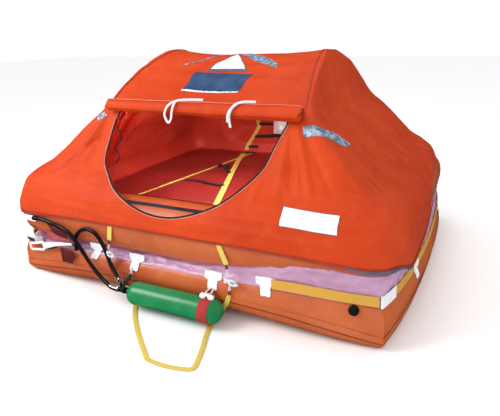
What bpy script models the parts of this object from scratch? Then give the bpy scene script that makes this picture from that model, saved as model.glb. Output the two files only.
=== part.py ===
"""A canopied life raft: two stacked inflatable rings, an inflated floor and a tent with an entrance.

Metres, +Z up. The entrance faces -Y and the raft rests on its lower ring at z = 0.
"""

import math

import bmesh
import bpy
from mathutils import Vector

# Driving dimensions of the whole raft
LENGTH = 2.20
WIDTH = 1.94
TUBE_RADIUS = 0.13
FRONT_BOW = 0.020
LOWER_END_BOW = 0.060
UPPER_END_BOW = 0.022
LOWER_CORNER_PULL = 0.040
UPPER_CORNER_PULL = 0.075
MIDDLE_RISE = 0.022
GAP = 0.0003

# Floor, liner and arches
FLOOR_TOP = 0.43
FLOOR_BOTTOM = 0.335
FLOOR_EDGE = 0.02
ARCH_RADIUS = 0.045
ARCH_TOP = 1.1738
ARCH_FOOT = 0.5340
LINER_WALL = 0.004
LINER_INSET = 0.2500
LINER_TOP = 0.585
LINER_FOOT = 0.442

# Canopy and its entrance
HEM_MIDDLE = 0.400
CANOPY_WALL = 0.007
ENTRANCE_HALF_WIDTH = 0.487
ENTRANCE_DEPTH = 0.35
ENTRANCE_SPRING = 0.84
ENTRANCE_TOP = 0.93

# Gas cylinder
CYLINDER_RADIUS = 0.061
CYLINDER_LEFT = -0.215
CYLINDER_RIGHT = 0.330
CYLINDER_HEIGHT = 0.085

STRAP_LEFT = 0.225

# Hoses and fittings on the front
LADDER_X = 0.361
HOSE_RADIUS = 0.0105
HOSE_BOSS = 0.0125
HOSE_INLET_UPPER_X = -0.850
VALVE_X = 0.936

# The rolled flap rests in the angle of the canopy above the entrance
ROLL_Y = -0.6595
ROLL_Z = 0.9685

# Sheet goods
WEBBING = 0.028
WEBBING_THICK = 0.003
PATCH_THICK = 0.003

HALF_X = LENGTH / 2
HALF_Y = WIDTH / 2
UPPER_CENTRE = 3 * TUBE_RADIUS
NOTCH = 2 * TUBE_RADIUS

# Between these heights the lower ring's outline passes into the upper ring's
BLEND_LOW = NOTCH
BLEND_HIGH = 0.3164

# Where sections are taken along each side, from -1 at its first corner to 1 at the next
STATIONS = (-1, -0.97, -0.93, -0.8, -0.55, -0.2, 0.2, 0.55, 0.8, 0.93, 0.97)
SECTION_SIDES = 16
FACET = 2 * math.pi / SECTION_SIDES

# The cylinder stands out in front, so the raft sits back by half of that in its own frame
CANOPY_REACH = 0.0075
CYLINDER_REACH = 0.1172
CENTRE_Y = (CYLINDER_REACH - CANOPY_REACH) / 2


def clear_scene():
    for thing in list(bpy.data.objects):
        bpy.data.objects.remove(thing, do_unlink=True)


def material(name, colour, roughness=0.6, metallic=0.0):
    made = bpy.data.materials.new(name)
    made.use_nodes = True
    shader = made.node_tree.nodes["Principled BSDF"]
    shader.inputs["Base Color"].default_value = (*colour, 1.0)
    shader.inputs["Roughness"].default_value = roughness
    shader.inputs["Metallic"].default_value = metallic
    return made


def add_object(name, mesh, finish):
    mesh.materials.append(finish)
    made = bpy.data.objects.new(name, mesh)
    bpy.context.scene.collection.objects.link(made)
    made.location.y = CENTRE_Y
    return made


def mesh_from(name, points, faces, finish, smooth=True):
    mesh = bpy.data.meshes.new(name)
    mesh.from_pydata(points, [], faces)
    whole = bmesh.new()
    whole.from_mesh(mesh)
    bmesh.ops.recalc_face_normals(whole, faces=whole.faces)
    whole.to_mesh(mesh)
    whole.free()
    if smooth:
        mesh.shade_smooth()
        mesh.set_sharp_from_angle(angle=math.radians(40))
    return add_object(name, mesh, finish)


def grid_faces(rows, columns, wrap_rows, wrap_columns):
    """Quads between neighbours on a rows by columns grid of points."""
    faces = []
    for i in range(rows if wrap_rows else rows - 1):
        for j in range(columns if wrap_columns else columns - 1):
            k, m = (i + 1) % rows, (j + 1) % columns
            faces.append((i * columns + j, k * columns + j, k * columns + m, i * columns + m))
    return faces


def plan(side, t, half_x, half_y, bows, drawn_in):
    """The point at t, from -1 to 1, on one side of a rectangle with bowed sides.

    Side 0 is the front, 1 the right, 2 the back and 3 the left, each starting at its corner.
    bows are how far the middle of a long side and of an end stand out, and drawn_in is how
    far the point is moved inwards, both ways, on account of the corner.
    """
    half, other = ((half_x, half_y), (half_y, half_x))[side % 2]
    along = t * (half - drawn_in)
    out = other + bows[side % 2] * (1 - t * t) - drawn_in
    x, y = ((along, -out), (out, along))[side % 2]
    return (x, y) if side < 2 else (-x, -y)


def cornering(t):
    """1 at a corner, falling to 0 along the side, as where two tubes meet in a mitre."""
    return t**4


def rounding(t):
    """Near 1 at a corner, falling very quickly to 0, as where a corner is rounded off.

    The limit keeps the point of the corner outside the line between its neighbours.
    """
    return min(0.78, t**16)


def rise(t):
    """The middle of a side stands a little higher than its ends."""
    return MIDDLE_RISE * (1 - t * t)


def station_point(side, t, inset, height):
    """A point of the rings' outline, drawn in by an inset, at a nominal height."""
    share = min(1, max(0, (height - BLEND_LOW) / (BLEND_HIGH - BLEND_LOW)))
    end_bow = LOWER_END_BOW + share * (UPPER_END_BOW - LOWER_END_BOW)
    drawn_in = (1 - share) * LOWER_CORNER_PULL * cornering(t)
    drawn_in += share * UPPER_CORNER_PULL * rounding(t)
    x, y = plan(side, t, HALF_X - inset, HALF_Y - inset, (FRONT_BOW, end_bow), drawn_in)
    return Vector((x, y, height + rise(t)))


def ring_point(side, t, inset, height):
    """The same on the straight line between the two stations on either side of t."""
    for a, b in zip(STATIONS, STATIONS[1:] + (1,)):
        if a <= t <= b:
            start, end = [station_point(side, at, inset, height) for at in (a, b)]
            return start.lerp(end, (t - a) / (b - a))


def on_side(side, place, inset, height):
    """The same at a distance from the side's middle, measured along it."""
    sign = 1 if side < 2 else -1
    for a, b in zip(STATIONS, STATIONS[1:] + (1,)):
        start, end = [station_point(side, t, inset, height) for t in (a, b)]
        low, high = sign * start[side % 2], sign * end[side % 2]
        if low <= place <= high:
            return start.lerp(end, (place - low) / (high - low))


ALL_ROWS = [(side, t) for side in range(4) for t in STATIONS]


def ring_points(section, rows):
    """Points of a piece that follows the raft's outline.

    section(t) gives (inset from the outline, height) pairs for a station.
    """
    return [ring_point(side, t, inset, height) for side, t in rows for inset, height in section(t)]


def ring(name, section, finish):
    points = ring_points(section, ALL_ROWS)
    columns = len(points) // len(ALL_ROWS)
    return mesh_from(name, points, grid_faces(len(ALL_ROWS), columns, True, True), finish)


def strip(name, section, rows, finish):
    """A piece that follows the outline through some stations only, with its two ends closed."""
    points = ring_points(section, rows)
    columns = len(points) // len(rows)
    faces = grid_faces(len(rows), columns, False, True)
    faces.append(tuple(range(columns)))
    faces.append(tuple(range(len(points) - columns, len(points))))
    return mesh_from(name, points, faces, finish)


def tube_section(centre, pinch_down, pinch_up):
    """A round tube's section, pulled square at its outer lower or outer upper side near a corner."""
    radius = TUBE_RADIUS / math.cos(math.pi / SECTION_SIDES)

    def section(t):
        pairs = []
        for j in range(SECTION_SIDES):
            angle = (j + 0.5) * 2 * math.pi / SECTION_SIDES
            across, up = math.cos(angle), math.sin(angle)
            pinch = 0 if across < 0 else pinch_down if up < 0 else pinch_up
            power = 2 / (2 + pinch * cornering(t))
            across = math.copysign(abs(across) ** power, across)
            up = math.copysign(abs(up) ** power, up)
            limit = TUBE_RADIUS / radius
            across, up = max(-limit, min(limit, across)), max(-limit, min(limit, up))
            pairs.append((TUBE_RADIUS - radius * across, centre + radius * up))
        return pairs

    return section


# The coupling band's inner face on the lower tube, in the notch and on the upper tube, as
# (inset, height), and the heights between which the webbing lies on it
BAND_LOW = (0.0193, 0.2036)
BAND_NOTCH = (0.0300, NOTCH)
BAND_UPPER = (0.0161, BLEND_HIGH)
BAND_HIGH = (0.0116, 0.3350)
BAND_THICK = 0.004
WEBBING_LOW = 0.222
WEBBING_HIGH = 0.256


def band_inset(height):
    """Inset of the band's outer face, on its lower half."""
    share = (height - BAND_LOW[1]) / (BAND_NOTCH[1] - BAND_LOW[1])
    return BAND_LOW[0] + share * (BAND_NOTCH[0] - BAND_LOW[0]) - BAND_THICK


def band_section(t):
    """The coupling band: a thin sheet across the notch, from the lower tube to the upper one."""
    webbing = [(band_inset(height) + BAND_THICK, height) for height in (WEBBING_LOW, WEBBING_HIGH)]
    face = [BAND_LOW] + webbing + [BAND_NOTCH, BAND_UPPER, BAND_HIGH]
    return face + [(inset - BAND_THICK, height) for inset, height in reversed(face)]


def webbing_section(thick, heights=(WEBBING_LOW, WEBBING_HIGH)):
    """A ribbon that lies on the band's lower half."""
    faces = [(band_inset(height) - 3 * GAP, height) for height in heights]
    return lambda t: faces + [(inset - thick, height) for inset, height in reversed(faces)]


def make_tubes(rust):
    ring("lower_tube", tube_section(TUBE_RADIUS, 6, 0), rust)
    ring("upper_tube", tube_section(UPPER_CENTRE + 2 * GAP, 0, 1.0), rust)


def make_floor(dark_red):
    """An inflated floor between the inner walls of the upper ring."""
    inset = 2 * TUBE_RADIUS + GAP
    loops = (
        (inset + FLOOR_EDGE, FLOOR_BOTTOM),
        (inset, FLOOR_BOTTOM + FLOOR_EDGE),
        (inset, FLOOR_TOP - FLOOR_EDGE),
        (inset + FLOOR_EDGE, FLOOR_TOP),
    )
    points = []
    for extra, height in loops:
        for side, t in ALL_ROWS:
            x, y, _ = station_point(side, t, extra, UPPER_CENTRE)
            points.append((x, y, height))
    around = 4 * len(STATIONS)
    faces = grid_faces(len(loops), around, False, True)
    faces.append(tuple(range(around)))
    faces.append(tuple(range(len(points) - around, len(points))))
    mesh_from("floor", points, faces, dark_red)


# The canopy's outer skin, loop by loop from the hem to the ridge
CANOPY_LOOPS = (
    # half length, half width, height mid-side, height at a corner, share of the bow, corner pull
    (HALF_X + CANOPY_REACH, HALF_Y + CANOPY_REACH, HEM_MIDDLE, 0.372, 1.0, 0.073),
    (HALF_X + CANOPY_REACH, HALF_Y + CANOPY_REACH, 0.455, 0.470, 1.0, 0.073),
    (1.082, 0.955, 0.525, 0.560, 0.8, 0.094),
    (1.028, 0.915, 0.585, 0.610, 0.5, 0.094),
    (0.945, 0.855, 0.640, 0.660, 0.2, 0.082),
    (0.835, 0.775, 0.730, 0.750, 0.1, 0.051),
    (0.720, 0.705, 0.835, 0.850, 0.0, 0.019),
    (0.620, 0.635, 0.940, 0.940, 0.0, 0.000),
    (0.595, 0.560, 1.000, 1.005, 0.0, 0.000),
    (0.565, 0.400, 1.090, 1.110, 0.0, 0.000),
    (0.540, 0.220, 1.165, 1.190, 0.0, 0.000),
    (0.505, 0.070, 1.200, 1.238, 0.0, 0.000),
)


def entrance_cutter():
    """An upright D that is cut through the canopy's front."""
    outline = [(-ENTRANCE_HALF_WIDTH, ENTRANCE_TOP)]
    for j in range(25):
        angle = math.pi + j * math.pi / 24
        x = ENTRANCE_HALF_WIDTH * math.cos(angle)
        outline.append((x, ENTRANCE_SPRING + ENTRANCE_DEPTH * math.sin(angle)))
    outline.append((ENTRANCE_HALF_WIDTH, ENTRANCE_TOP))
    count = len(outline)
    points = [(x, y, z) for y in (-1.3, -0.45) for x, z in outline]
    faces = grid_faces(2, count, False, True)
    faces += [tuple(range(count)), tuple(range(count, 2 * count))]
    cutter = mesh_from("entrance_cutter", points, faces, bpy.data.materials["canopy_cloth"], False)
    cutter.hide_render = True
    cutter.display_type = "WIRE"
    return cutter


def make_canopy(cloth):
    points = []
    for half_x, half_y, middle, corner, bow, pull in CANOPY_LOOPS:
        bows = (bow * FRONT_BOW, bow * UPPER_END_BOW)
        for side, t in ALL_ROWS:
            x, y = plan(side, t, half_x, half_y, bows, pull * rounding(t))
            points.append((x, y, middle + (corner - middle) * cornering(t)))
    around = 4 * len(STATIONS)
    faces = grid_faces(len(CANOPY_LOOPS), around, False, True)
    faces += roof_cap(points, around)
    canopy = mesh_from("canopy", points, faces, cloth)
    wall = canopy.modifiers.new("wall", "SOLIDIFY")
    wall.thickness = CANOPY_WALL
    wall.offset = -1
    cut = canopy.modifiers.new("entrance", "BOOLEAN")
    cut.operation = "DIFFERENCE"
    cut.object = entrance_cutter()


def roof_cap(points, around):
    """Faces that close the top loop: its front points joined to the back points across the ridge."""
    start = len(points) - around
    steps = len(STATIONS)
    front = [start + j for j in range(steps + 1)]
    back = [start + (3 * steps - j) % around for j in range(steps + 1)]
    faces = [(front[j], front[j + 1], back[j + 1], back[j]) for j in range(steps)]
    right = [start + steps + j for j in range(steps + 1)]
    left = [start + (3 * steps + j) % around for j in range(steps + 1)]
    return faces + [tuple(right), tuple(left)]


def smooth_route(knots, steps):
    """Points on a Catmull-Rom curve through the knots."""
    knots = [Vector(knot) for knot in knots]
    ends = [2 * knots[0] - knots[1]] + knots + [2 * knots[-1] - knots[-2]]
    route = []
    for a, b, c, d in zip(ends, ends[1:], ends[2:], ends[3:]):
        for j in range(steps):
            t = j / steps
            bend, twist = 2 * a - 5 * b + 4 * c - d, 3 * b - a - 3 * c + d
            route.append(0.5 * (2 * b + (c - a) * t + bend * t**2 + twist * t**3))
    return route + [knots[-1]]


def cord(name, knots, radius, finish, steps=5, resolution=2):
    """A round tube along a smooth route."""
    curve = bpy.data.curves.new(name, "CURVE")
    curve.dimensions = "3D"
    curve.bevel_depth = radius
    curve.bevel_resolution = resolution
    curve.use_fill_caps = True
    route = smooth_route(knots, steps)
    spline = curve.splines.new("POLY")
    spline.points.add(len(route) - 1)
    for point, place in zip(spline.points, route):
        point.co = (*place, 1)
    return add_object(name, curve, finish)


def make_arches(rust):
    """Two tubes from the front ring over to the back, one at each end of the ridge."""
    for name, sign in (("arch_left", -1), ("arch_right", 1)):
        half = (
            (0.620, 0.795, ARCH_FOOT),
            (0.617, 0.785, 0.620),
            (0.598, 0.705, 0.720),
            (0.555, 0.560, 0.885),
            (0.515, 0.370, 1.030),
            (0.475, 0.180, 1.130),
            (0.460, 0.000, ARCH_TOP),
        )
        front = [(sign * x, -y, z) for x, y, z in half]
        back = [(sign * x, y, z) for x, y, z in reversed(half[:-1])]
        cord(name, front + back, ARCH_RADIUS, rust, steps=3, resolution=3)


def turned(name, profile, start, along, finish, steps=20):
    """A solid of revolution: profile is (distance along the axis, radius), on a line from start."""
    along = Vector(along).normalized()
    across = along.orthogonal().normalized()
    third = along.cross(across)
    points = []
    for distance, radius in profile:
        for j in range(steps):
            angle = 2 * math.pi * j / steps
            out = across * math.cos(angle) + third * math.sin(angle)
            points.append(Vector(start) + along * distance + out * radius)
    faces = grid_faces(len(profile), steps, False, True)
    faces.append(tuple(range(steps)))
    faces.append(tuple(range(len(points) - steps, len(points))))
    return mesh_from(name, points, faces, finish)


def slab(name, outline, plane_point, out, up, thick, finish):
    """A flat plate: outline in (right, up) from plane_point, thickened along out."""
    out, up = Vector(out).normalized(), Vector(up)
    up = (up - out * up.dot(out)).normalized()
    right = up.cross(out)
    points = []
    for lift in (0, thick):
        for across, height in outline:
            points.append(Vector(plane_point) + right * across + up * height + out * lift)
    count = len(outline)
    faces = grid_faces(2, count, False, True)
    faces += [tuple(range(count)), tuple(range(count, 2 * count))]
    return mesh_from(name, points, faces, finish, smooth=False)


def front_y(x, inset=0.0, height=TUBE_RADIUS):
    """Y of the front outline at x."""
    return on_side(0, x, inset, height).y


def make_lifeline(yellow, white):
    """Flat webbing outside the band, in four runs that stop at a patch on each corner."""
    webbing = webbing_section(WEBBING_THICK)
    hold = 0.97
    reach = hold - 0.001
    runs = (("front", 0, 0.51), ("right", 1, -reach), ("back", 2, -reach), ("left", 3, -reach))
    for name, side, start in runs:
        rows = [(side, start)] + [(side, t) for t in STATIONS if start < t < reach] + [(side, reach)]
        strip("lifeline_" + name, webbing, rows, yellow)
    patch = webbing_section(0.005, (BAND_LOW[1], WEBBING_LOW, WEBBING_HIGH, NOTCH))
    for name, side in (("front_left", 3), ("front_right", 0), ("back_right", 1), ("back_left", 2)):
        rows = [(side, hold), ((side + 1) % 4, -1), ((side + 1) % 4, -hold)]
        strip("corner_patch_" + name, patch, rows, white)


# Patches that lie on the lower tube's upper outer facet, by side and place along it
T_PATCHES = (
    # name, side, distance from the side's middle
    ("patch_front_1", 0, -0.522),
    ("patch_front_2", 0, -0.240),
    ("patch_front_3", 0, 0.240),
    ("patch_front_4", 0, 0.522),
    ("patch_right_1", 1, -0.505),
    ("patch_right_2", 1, 0.505),
    ("patch_left_1", 3, -0.505),
    ("patch_left_2", 3, 0.505),
)
T_OUTLINE = ((-0.042, 0.048), (-0.042, 0.022), (-0.022, 0.018), (-0.018, 0.001),
             (0.018, 0.001), (0.022, 0.018), (0.042, 0.022), (0.042, 0.048))


def make_t_patches(white):
    vertex = TUBE_RADIUS / math.cos(FACET / 2)
    inset = TUBE_RADIUS - vertex * math.cos(FACET / 2)
    height = TUBE_RADIUS + vertex * math.sin(FACET / 2)
    for name, side, place in T_PATCHES:
        here, ahead = [on_side(side, spot, inset, height) for spot in (place, place + 0.01)]
        along = (ahead - here).normalized()
        out = along.cross(Vector((0, 0, 1))).normalized()
        normal = out * math.cos(FACET) + Vector((0, 0, math.sin(FACET)))
        normal = (normal - along * normal.dot(along)).normalized()
        slab(name, T_OUTLINE, here + normal * 2 * GAP, normal, (0, 0, 1), PATCH_THICK, white)


def make_ladder(yellow):
    """Two upright straps on the front and the webbing loop that hangs from them onto the ground."""
    for name, x in (("ladder_strap_left", -LADDER_X), ("ladder_strap_right", LADDER_X)):
        half = WEBBING / 2
        low, high = TUBE_RADIUS, HEM_MIDDLE - 0.003
        outline = ((-half, low), (half, low), (half, high), (-half, high))
        place = (x, front_y(x, 0, UPPER_CENTRE) - 2 * GAP, 0)
        slab(name, outline, place, (0, -1, 0), (0, 0, 1), WEBBING_THICK, yellow)
    loop = (
        (-LADDER_X, front_y(LADDER_X) - 0.0070, TUBE_RADIUS - 4 * GAP), (-0.3585, -0.9925, 0.115),
        (-0.340, -0.998, 0.090), (-0.300, -1.006, 0.058), (-0.245, -1.028, 0.022),
        (-0.200, -1.060, 0.008), (-0.115, -1.130, 0.006), (-0.019, -1.213, 0.006),
        (0.080, -1.305, 0.006), (0.165, -1.368, 0.006), (0.250, -1.392, 0.006),
        (0.330, -1.385, 0.006), (0.375, -1.335, 0.006), (0.368, -1.270, 0.006),
        (0.340, -1.200, 0.006), (0.318, -1.130, 0.006), (0.322, -1.070, 0.012),
        (0.340, -1.025, 0.045), (0.356, -0.998, 0.095), (0.3605, -0.9925, 0.115),
        (LADDER_X, front_y(LADDER_X) - 0.0070, TUBE_RADIUS - 4 * GAP),
    )
    cord("ladder_loop", loop, 0.0055, yellow, steps=4)


def make_cylinder(green, black, red, white):
    """The gas cylinder, lying against the front of the lower tube, with its valve and strap."""
    radius = CYLINDER_RADIUS
    strap_thick = 0.0024
    outer = (radius + GAP + strap_thick) / math.cos(math.pi / 24)
    tube = on_side(0, STRAP_LEFT, TUBE_RADIUS, TUBE_RADIUS)
    drop = tube.z - CYLINDER_HEIGHT
    centre = tube.y - (TUBE_RADIUS + outer + 4 * GAP - drop * math.sin(FACET)) / math.cos(FACET)
    length = CYLINDER_RIGHT - CYLINDER_LEFT
    profile = [(0.0, 0.016), (0.012, 0.018)]
    shoulder = 0.05
    for j in range(1, 7):
        angle = j * math.pi / 12
        along = 0.012 + shoulder * (1 - math.cos(angle))
        profile.append((along, 0.018 + (radius - 0.018) * math.sin(angle)))
    for j in range(6, -1, -1):
        angle = j * math.pi / 12
        profile.append((length - shoulder * (1 - math.cos(angle)), max(0.006, radius * math.sin(angle))))
    start = (CYLINDER_LEFT, centre, CYLINDER_HEIGHT)
    turned("gas_cylinder", profile, start, (1, 0, 0), green, 24)
    head = [(0, 0.010), (0.004, 0.017), (0.040, 0.017), (0.044, 0.014), (0.058, 0.014)]
    turned("valve_head", head, (CYLINDER_LEFT - 0.058 - GAP, centre, CYLINDER_HEIGHT), (1, 0, 0), black, 16)
    inner, outer = radius + GAP, radius + GAP + strap_thick
    steps = 24
    points = []
    for j in range(steps):
        angle = 2 * math.pi * (j + 0.5) / steps
        for along, out in ((0, inner), (0.055, inner), (0.055, outer), (0, outer)):
            out = out / math.cos(math.pi / steps)
            y, z = centre - out * math.cos(angle), CYLINDER_HEIGHT + out * math.sin(angle)
            points.append((STRAP_LEFT + along, y, z))
    mesh_from("cylinder_strap", points, grid_faces(steps, 4, True, True), red)
    top = CYLINDER_HEIGHT + outer / math.cos(math.pi / steps) + GAP
    low = (STRAP_LEFT - 0.004, centre - 0.014, top)
    box("strap_buckle", low, (STRAP_LEFT + 0.070, centre + 0.014, top + 0.022), white)


def box(name, low, high, finish, bevel=0.003):
    """A block between two corners, its edges eased."""
    whole = bmesh.new()
    bmesh.ops.create_cube(whole, size=1)
    size = Vector(high) - Vector(low)
    middle = (Vector(high) + Vector(low)) / 2
    bmesh.ops.scale(whole, vec=size, verts=whole.verts)
    bmesh.ops.translate(whole, vec=middle, verts=whole.verts)
    mesh = bpy.data.meshes.new(name)
    whole.to_mesh(mesh)
    whole.free()
    made = add_object(name, mesh, finish)
    easing = made.modifiers.new("eased edges", "BEVEL")
    easing.width = bevel
    easing.segments = 1
    return made


def make_hoses(black):
    """Two inflation hoses from the valve head to an inlet on each tube."""
    across, lift = front_y(HOSE_INLET_UPPER_X, 0, UPPER_CENTRE), 0.377
    centre = across - HOSE_BOSS - GAP
    boss = [(0, 0.011), (0.004, HOSE_BOSS), (0.030, HOSE_BOSS), (0.034, 0.011)]
    start = (HOSE_INLET_UPPER_X - 0.034, centre, lift)
    turned("hose_inlet_upper", boss, start, (1, 0, 0), black, 12)
    hose_a = (
        (HOSE_INLET_UPPER_X + 4 * GAP, centre, lift),
        (HOSE_INLET_UPPER_X + 0.030, centre, lift), (-0.745, -0.990, 0.363),
        (-0.690, -1.000, 0.360), (-0.640, -1.006, 0.350), (-0.598, -1.008, 0.326), (-0.558, -1.009, 0.281),
        (-0.517, -1.012, 0.229), (-0.463, -1.020, 0.168), (-0.397, -1.032, 0.119), (-0.330, -1.045, 0.090),
        (CYLINDER_LEFT - 0.080, -1.0475, CYLINDER_HEIGHT),
        (CYLINDER_LEFT - 0.0592, -1.0475, CYLINDER_HEIGHT),
    )
    cord("hose_upper", hose_a, HOSE_RADIUS, black, steps=3)
    low = (-0.602, front_y(-0.602, 0.0162, BAND_LOW[1]) - HOSE_BOSS - GAP, 0.222)
    turned("hose_inlet_lower", boss, low, (0, 0, 1), black, 12)
    top = low[2] + 0.034 + 3 * GAP
    hose_b = (
        (low[0], low[1], top), (low[0], low[1], top + 0.020), (-0.597, -0.979, 0.293),
        (-0.575, -0.984, 0.325), (-0.532, -0.990, 0.357),
        (-0.480, -0.997, 0.370), (-0.432, -1.001, 0.357), (-0.395, -1.003, 0.315), (-0.362, -1.010, 0.257),
        (-0.331, -1.020, 0.195), (-0.285, -1.038, 0.155), (-0.2500, -1.0475, 0.128),
        (-0.2500, -1.0475, CYLINDER_HEIGHT + 0.0190),
    )
    cord("hose_lower", hose_b, HOSE_RADIUS, black, steps=3)


def make_front_fittings(dark_red, white, black):
    """The drop pocket, the towing strap with its ring, and the inflation valve's cap."""
    wall = front_y(-0.622) - 2 * GAP
    box("drop_pocket", (-0.735, wall - 0.012, 0.112), (-0.622, wall, 0.200), dark_red)
    ring_right = -0.850
    strip("towing_strap", webbing_section(WEBBING_THICK), [(0, -0.790), (0, -0.580)], white)
    foot, ahead = [on_side(0, x, -2 * GAP, 0.156) for x in (ring_right, ring_right - 0.01)]
    head = on_side(0, ring_right, band_inset(0.236) - 6 * GAP, 0.236)
    along, up = (ahead - foot).normalized(), (head - foot).normalized()
    out = up.cross(along).normalized()
    outer = ((0.155, 0), (0, 0), (0, 0.094), (0.155, 0.094))
    inner = ((0.130, 0.022), (0.025, 0.022), (0.025, 0.062), (0.130, 0.062))
    loops = [outer, inner]
    points = [foot + along * a + up * b + out * c for c in (0, 0.004) for loop in loops for a, b in loop]
    faces = []
    for j in range(4):
        k = (j + 1) % 4
        faces += [(j, k, 4 + k, 4 + j), (8 + j, 8 + k, 12 + k, 12 + j), (j, k, 8 + k, 8 + j)]
        faces.append((4 + j, 4 + k, 12 + k, 12 + j))
    mesh_from("towing_ring", points, faces, white, smooth=False)
    inset = TUBE_RADIUS - TUBE_RADIUS * math.cos(FACET)
    height = TUBE_RADIUS + TUBE_RADIUS * math.sin(FACET)
    here, ahead = [on_side(0, spot, inset, height) for spot in (VALVE_X, VALVE_X + 0.01)]
    normal = (ahead - here).cross(Vector((0, math.sin(FACET), math.cos(FACET)))).normalized()
    seat = here + normal * 5 * GAP
    cap = [(0, 0.024), (0.006, 0.024), (0.008, 0.021), (0.013, 0.021), (0.015, 0.018)]
    turned("valve_cap", cap, seat, normal, black, 20)


def make_roll(cloth):
    """The entrance flap, rolled up above the opening."""
    radius = 0.037
    half = 0.575
    profile = [(0, 0.016), (0.006, 0.030), (0.020, radius), (2 * half - 0.020, radius)]
    profile += [(2 * half - 0.006, 0.030), (2 * half, 0.016)]
    turned("entrance_roll", profile, (-half, ROLL_Y, ROLL_Z), (1, 0, 0), cloth, 20)


def make_liner(cloth):
    """The inner cloth wall at the sides and back, standing on the upper tube's inner slope."""
    rows = [(1, t) for t in STATIONS[2:]] + [(2, t) for t in STATIONS] + [(3, t) for t in STATIONS[:-1]]
    outline = (
        (LINER_INSET, LINER_FOOT),
        (LINER_INSET, LINER_TOP),
        (LINER_INSET + LINER_WALL, LINER_TOP),
        (LINER_INSET + LINER_WALL, LINER_FOOT),
    )
    points = [station_point(side, t, *corner) for side, t in rows for corner in outline]
    columns = len(outline)
    faces = grid_faces(len(rows), columns, False, True)
    faces += [tuple(range(columns)), tuple(range(len(points) - columns, len(points)))]
    mesh_from("inner_liner", points, faces, cloth, smooth=False)


def ribbon(name, start, end, width, thick, up, finish):
    """A straight flat strap between two points, its flat side facing along up."""
    start, end, up = Vector(start), Vector(end), Vector(up)
    along = (end - start).normalized()
    side = along.cross(up).normalized()
    face = side.cross(along).normalized()
    points = []
    for place in (start, end):
        for a, b in ((-1, 0), (1, 0), (1, 1), (-1, 1)):
            points.append(place + side * a * width / 2 + face * b * thick)
    faces = grid_faces(2, 4, False, True) + [(0, 1, 2, 3), (4, 5, 6, 7)]
    mesh_from(name, points, faces, finish, smooth=False)


def make_inner_ladder(yellow, black):
    """Webbing laid over the floor, its rungs, and the strap that goes up the back wall."""
    up = (0, 0, 1)
    floor = FLOOR_TOP + GAP
    width, thick = 0.024, 0.002
    ribbon("inner_strap_left", (-0.485, -0.640, floor), (-0.313, 0.640, floor), width, thick, up, yellow)
    ribbon("inner_strap_right", (0.080, -0.640, floor), (-0.290, 0.430, floor), width, thick, up, yellow)
    foot, head = (-0.372, 0.7085, floor + 0.0048), (-0.315, 0.7318, 0.590)
    ribbon("inner_riser", foot, head, width, thick, (0, -1, 0), yellow)
    above = floor + thick + GAP
    rungs = (
        (-0.430, -0.170, -0.050, -0.215),
        (-0.375, 0.225, -0.190, 0.030),
        (-0.360, 0.420, -0.250, 0.405),
    )
    for number, (x1, y1, x2, y2) in enumerate(rungs, 1):
        name = "inner_rung_%d" % number
        ribbon(name, (x1, y1, above), (x2, y2, above), 0.018, 0.002, up, black)


def pouch(name, middle, top, bottom, low, high, finish):
    """A tapering pouch, widest at its top."""
    points = []
    for (half_x, half_y), height in ((bottom, low), (top, high)):
        for a, b in ((-1, -1), (1, -1), (1, 1), (-1, 1)):
            points.append((middle[0] + a * half_x, middle[1] + b * half_y, height))
    faces = grid_faces(2, 4, False, True) + [(0, 1, 2, 3), (4, 5, 6, 7)]
    made = mesh_from(name, points, faces, finish, smooth=False)
    easing = made.modifiers.new("eased edges", "BEVEL")
    easing.width = 0.012
    easing.segments = 1


def make_pouches(dark, white):
    """Ballast pockets under the floor, and the bag on the back wall."""
    corners = (("front_left", -1, -1), ("front_right", 1, -1), ("back_right", 1, 1), ("back_left", -1, 1))
    for name, x, y in corners:
        middle = (x * 0.44, y * 0.36)
        pouch("ballast_" + name, middle, (0.19, 0.13), (0.13, 0.09), 0.10, FLOOR_BOTTOM - GAP, dark)
    box("stowage_bag", (-0.165, 0.780, 0.572), (-0.052, 0.8133, 0.682), white)


def main():
    clear_scene()
    rust = material("tube_rubber", (0.62, 0.15, 0.03))
    cloth = material("canopy_cloth", (0.80, 0.10, 0.03))
    dark_red = material("floor_cloth", (0.30, 0.02, 0.02))
    lilac = material("band_film", (0.75, 0.55, 0.70), 0.4)
    yellow = material("yellow_webbing", (0.85, 0.50, 0.05))
    white = material("white_fabric", (0.85, 0.86, 0.88))
    red = material("red_webbing", (0.60, 0.03, 0.02))
    green = material("cylinder_paint", (0.0, 0.30, 0.09), 0.25)
    black = material("black_rubber", (0.01, 0.01, 0.012), 0.5)
    make_tubes(rust)
    ring("coupling_band", band_section, lilac)
    make_floor(dark_red)
    make_canopy(cloth)
    make_roll(cloth)
    make_arches(rust)
    make_liner(cloth)
    make_lifeline(yellow, white)
    make_t_patches(white)
    make_ladder(yellow)
    make_cylinder(green, black, red, white)
    make_hoses(black)
    make_front_fittings(dark_red, white, black)
    make_inner_ladder(yellow, black)
    make_pouches(black, white)


main()
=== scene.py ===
# %% [markdown]
# # A canopied life raft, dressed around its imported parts
# A small ship's life raft is two inflated rings, one on the other, with an inflated floor
# between them and a tent over it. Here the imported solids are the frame, and each cloth,
# strap and hose is worked out as a surface around them.

import math

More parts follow.
